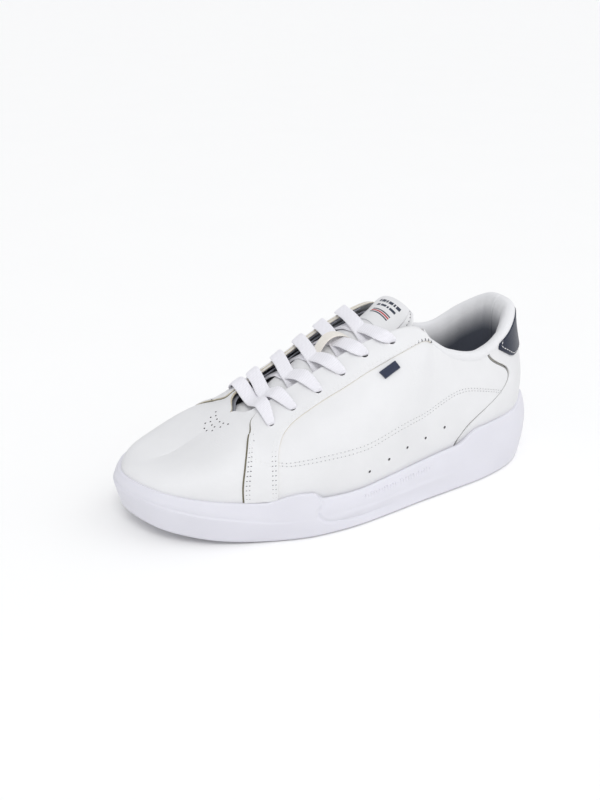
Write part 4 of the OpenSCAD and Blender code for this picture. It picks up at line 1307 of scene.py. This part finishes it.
def label():
    """Plain patch near the tongue's tip with generic bars of print."""
    obj = strip_sheet("tongue_label", 6.0, 8.5, -0.74, 0.74, 0.2, 1.5, PATCH, "tongue", "label", 50, 60)
    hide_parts("tongue_label")
    parts = []
    lines = [
        (7.66, 7.90, 0, [(-0.50, -0.43), (-0.39, -0.22), (-0.18, -0.11), (-0.06, 0.13), (0.18, 0.25),
                         (0.30, 0.48)]),
        (7.28, 7.44, 0, [(-0.44, -0.30), (-0.25, -0.02), (0.03, 0.10), (0.15, 0.42)]),
        (6.90, 6.97, 0, [(-0.40, 0.40)]), (6.77, 6.85, 1, [(-0.40, 0.40)]), (6.65, 6.72, 0, [(-0.40, 0.40)]),
    ]
    for a, b, mat_k, spans in lines:
        for v0, v1 in spans:
            s, v = np.meshgrid(np.linspace(a, b, 5), np.linspace(v0, v1, 12), indexing="ij")
            points, faces, _ = shell(tongue_at(s, v, 1.58), tongue_at(s, v, 1.3), True)
            parts.append((points, faces, mat_k))
    join_parts("label_print", parts, [PRINT, RED], "tongue", "label")


def ribbon(route, crown=0.16, power=3.0):
    """Flat lace section swept along rows of [x, y, z, nx, ny, nz, width, thickness]."""
    p, nrm, w, h = route[:, :3], route[:, 3:6], route[:, 6], route[:, 7]
    run = unit(np.gradient(p, axis=0))
    over = unit(np.cross(run, nrm))
    up = np.cross(over, run)
    k = 18
    angle = np.linspace(0, 2 * np.pi, k, endpoint=False)
    c, s = np.cos(angle), np.sin(angle)
    cx = np.sign(c) * np.abs(c) ** (2 / power)
    cy = np.sign(s) * np.abs(s) ** (2 / 2.2)
    swell = cy[None, :, None] + crown * (1 - cx[None, :, None] ** 2)
    ring_p = (p[:, None, :] + over[:, None, :] * (cx[None, :, None] * w[:, None, None] / 2)
              + up[:, None, :] * (swell * h[:, None, None] / 2))
    n = len(p)
    dist = np.r_[0, np.cumsum(np.linalg.norm(np.diff(p, axis=0), axis=1))]
    uv = np.stack([np.broadcast_to(cx * 0.5 + 0.5, (n, k)), np.broadcast_to(dist[:, None] / 2.2, (n, k))], -1)
    return ring_p.reshape(-1, 3), tube_faces(n, k), uv.reshape(-1, 2)


LACE_W, LACE_T = 8.8, 1.4  # the lace's width and thickness


def row(p, n, w=LACE_W, t=LACE_T):
    return np.r_[p, n, w, t]


def one(u, t, d):
    u1, t1 = np.array([u]), np.array([t])
    n = normal(u1, t1)[0]
    return face(u1, t1)[0] + d * n, n


def eye(i, inner):
    u, t = EYELETS[i]
    return (LOOP - u if inner else u), t


def eye_row(i, inner, d, kn, kg, w):
    u, t = eye(i, inner)
    p, n = one(u, t, d)
    g = unit(one(u, t + 0.03, 0)[0] - one(u, t - 0.03, 0)[0])
    return row(p, unit(kn * n + kg * g), w)


def edge_row(i, inner, aim, d, s):
    k = EYELETS[i][0] * 0.7 + aim * 0.3
    p, n = one(LOOP - k if inner else k, 0.985, d)
    return row(p, s * n)


def crest_row(a, b, h, s):
    m = np.mean([one(eye(k, f)[0], 0.9, 0)[0] for k in (a, b) for f in (False, True)], 0)
    z = np.interp(-m[0], [-x for x in TONGUE_X], TONGUE_Z)
    return row(np.array([m[0], m[1], z + h]), s * np.array([0.42, 0, 0.91]))


def into_hole(i, inner, s):
    return [eye_row(i, inner, TOP_D - 0.2, s, -0.9 * s, 5.2), eye_row(i, inner, -0.6, 0, -s, 3.5),
            eye_row(i, inner, UNDER_D + 1.6, -0.5 * s, -s, 3.5)]


def run_of(a, b, inner, h, s):
    under = edge_row(a, inner, EYELETS[b][0], UNDER_D - 0.3, s)
    top = crest_row(a, b, h, s)
    mid = 0.5 * (under + top)
    mid[2] += 1.2
    over_edge = edge_row(b, not inner, EYELETS[a][0], TOP_D + 0.7, s)
    mid2 = 0.5 * (top + over_edge)
    mid2[2] += 0.9
    return [under, mid, top, mid2, over_edge] + into_hole(b, not inner, s)


LOW_H, OVER_H, BAR_H = 2.4, 4.6, 4.6
TAIL = [(6.5, 0.80, -9.5), (6.75, 0.69, -9), (7.3, 0.62, -8.5), (7.9, 0.585, -8), (8.35, 0.55, -8.3),
        (8.42, 0.50, -9.3), (8.1, 0.46, -10.3), (7.5, 0.46, -10.3), (6.9, 0.46, -10.3), (6.4, 0.46, -10)]


def chain(inner):
    rows = []
    for k in range(len(EYELETS) - 1):
        flip = inner if k % 2 == 0 else not inner
        rows += run_of(k, k + 1, flip, LOW_H if (k % 2 == 0) == inner else OVER_H, 1 if k % 2 == 0 else -1)
    return rows


def tail(inner):
    rows = []
    for u, t, d in TAIL:
        p, n = one(LOOP - u if inner else u, t, d)
        rows.append(row(p, -n, LACE_W - 0.8))
    return rows


def lace():
    bar = into_hole(0, False, -1)[::-1] + [
        edge_row(0, False, EYELETS[0][0], TOP_D + 0.7, -1), crest_row(0, 0, BAR_H, -1),
        edge_row(0, True, EYELETS[0][0], TOP_D + 0.7, -1)] + into_hole(0, True, -1)
    rows = (chain(False) + tail(True))[::-1] + bar + chain(True) + tail(False)
    rows = np.array(rows)
    fine = open_curve(rows, np.linspace(0, 1, (len(rows) - 1) * 9 + 1))
    route = even(fine, 1.1)
    points, faces, uv = ribbon(route)
    obj = build("lace", points, faces, [LACE], None, "lace_cotton", uvs=uv, sharp=60)
    across_flex(obj)
    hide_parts("lace")
    run = np.linalg.norm(np.diff(route[:, :3], axis=0), axis=1).sum()
    print("lace length mm", round(run * FIT))


def keeper():
    """Webbing loop down the middle of the tongue; the lace runs under it."""
    rows = []
    for f in np.linspace(0, 1, 60):
        rise = math.sin(math.pi * f) ** 0.8
        p = tongue_at(3.28 + 1.36 * f, 0.12, 1.4 + 7.0 * rise)
        rows.append(row(p, unit(np.array([0.9 * math.cos(math.pi * f) * (1 - rise) + 0.4, 0, 1])), 9.0, 0.9))
    points, faces, uv = ribbon(np.array(rows), crown=0.05, power=5)
    obj = build("lace_keeper", points, faces, [KEEPER], None, "keeper_webbing", uvs=uv, sharp=60)
    x, y, z = tongue_at(4.1, 0.12, 0) * MM * FIT
    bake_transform(obj)
    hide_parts("lace_keeper")


def side_tab():
    """Folded woven tab sewn on beside the eyestay's rear edge, plain navy."""
    r, q = fine_steps(30, 0.02), fine_steps(20, 0.02)
    corners = np.array([[(6.752, 0.706), (6.866, 0.768)], [(6.472, 0.740), (6.566, 0.800)]])
    rr, qq = np.meshgrid(1 - r, q, indexing="ij")
    g = (corners[0, 0] * ((1 - rr) * (1 - qq))[..., None] + corners[0, 1] * ((1 - rr) * qq)[..., None]
         + corners[1, 0] * (rr * (1 - qq))[..., None] + corners[1, 1] * (rr * qq)[..., None])
    obj = panel("side_tab", g[..., 0], g[..., 1], 0.1, 2.1, [TAPE], "rearfoot", "tab_webbing", round_r=0.9)
    lay_uv(obj.data, np.concatenate([np.stack([rr, qq], -1).reshape(-1, 2)] * 2))
    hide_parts("side_tab")


def carried_over():
    """Materials for the CAD nodes that stay as they are."""
    looks = {
        "midsole_rear": FOAM, "midsole_front": FOAM, "toe_puff": BOARD, "heel_counter": BOARD,
        "collar_foam": FOAM, "lateral_eyelet_strip": SHADE_DARKENED_LINING, "medial_eyelet_strip": SHADE_DARKENED_LINING, "aglets": TIP,
    }
    for node, look in looks.items():
        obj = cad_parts[node]
        obj = bpy.data.objects[obj] if isinstance(obj, str) else obj
        obj.data.materials.clear()
        obj.data.materials.append(look)
        obj.data.polygons.foreach_set("material_index", [0] * len(obj.data.polygons))


camera()
lace()
studio()
quarter("lateral_quarter", False)
quarter("medial_quarter", True)
eyestay("lateral_eyestay", False)
eyestay("medial_eyestay", True)
vamp()
heel()
collar()
lining()
seams()
cupsole()
tread()
wall_marks()
inside()
board()
tongue()
label()
keeper()
side_tab()
stitching()
carried_over()
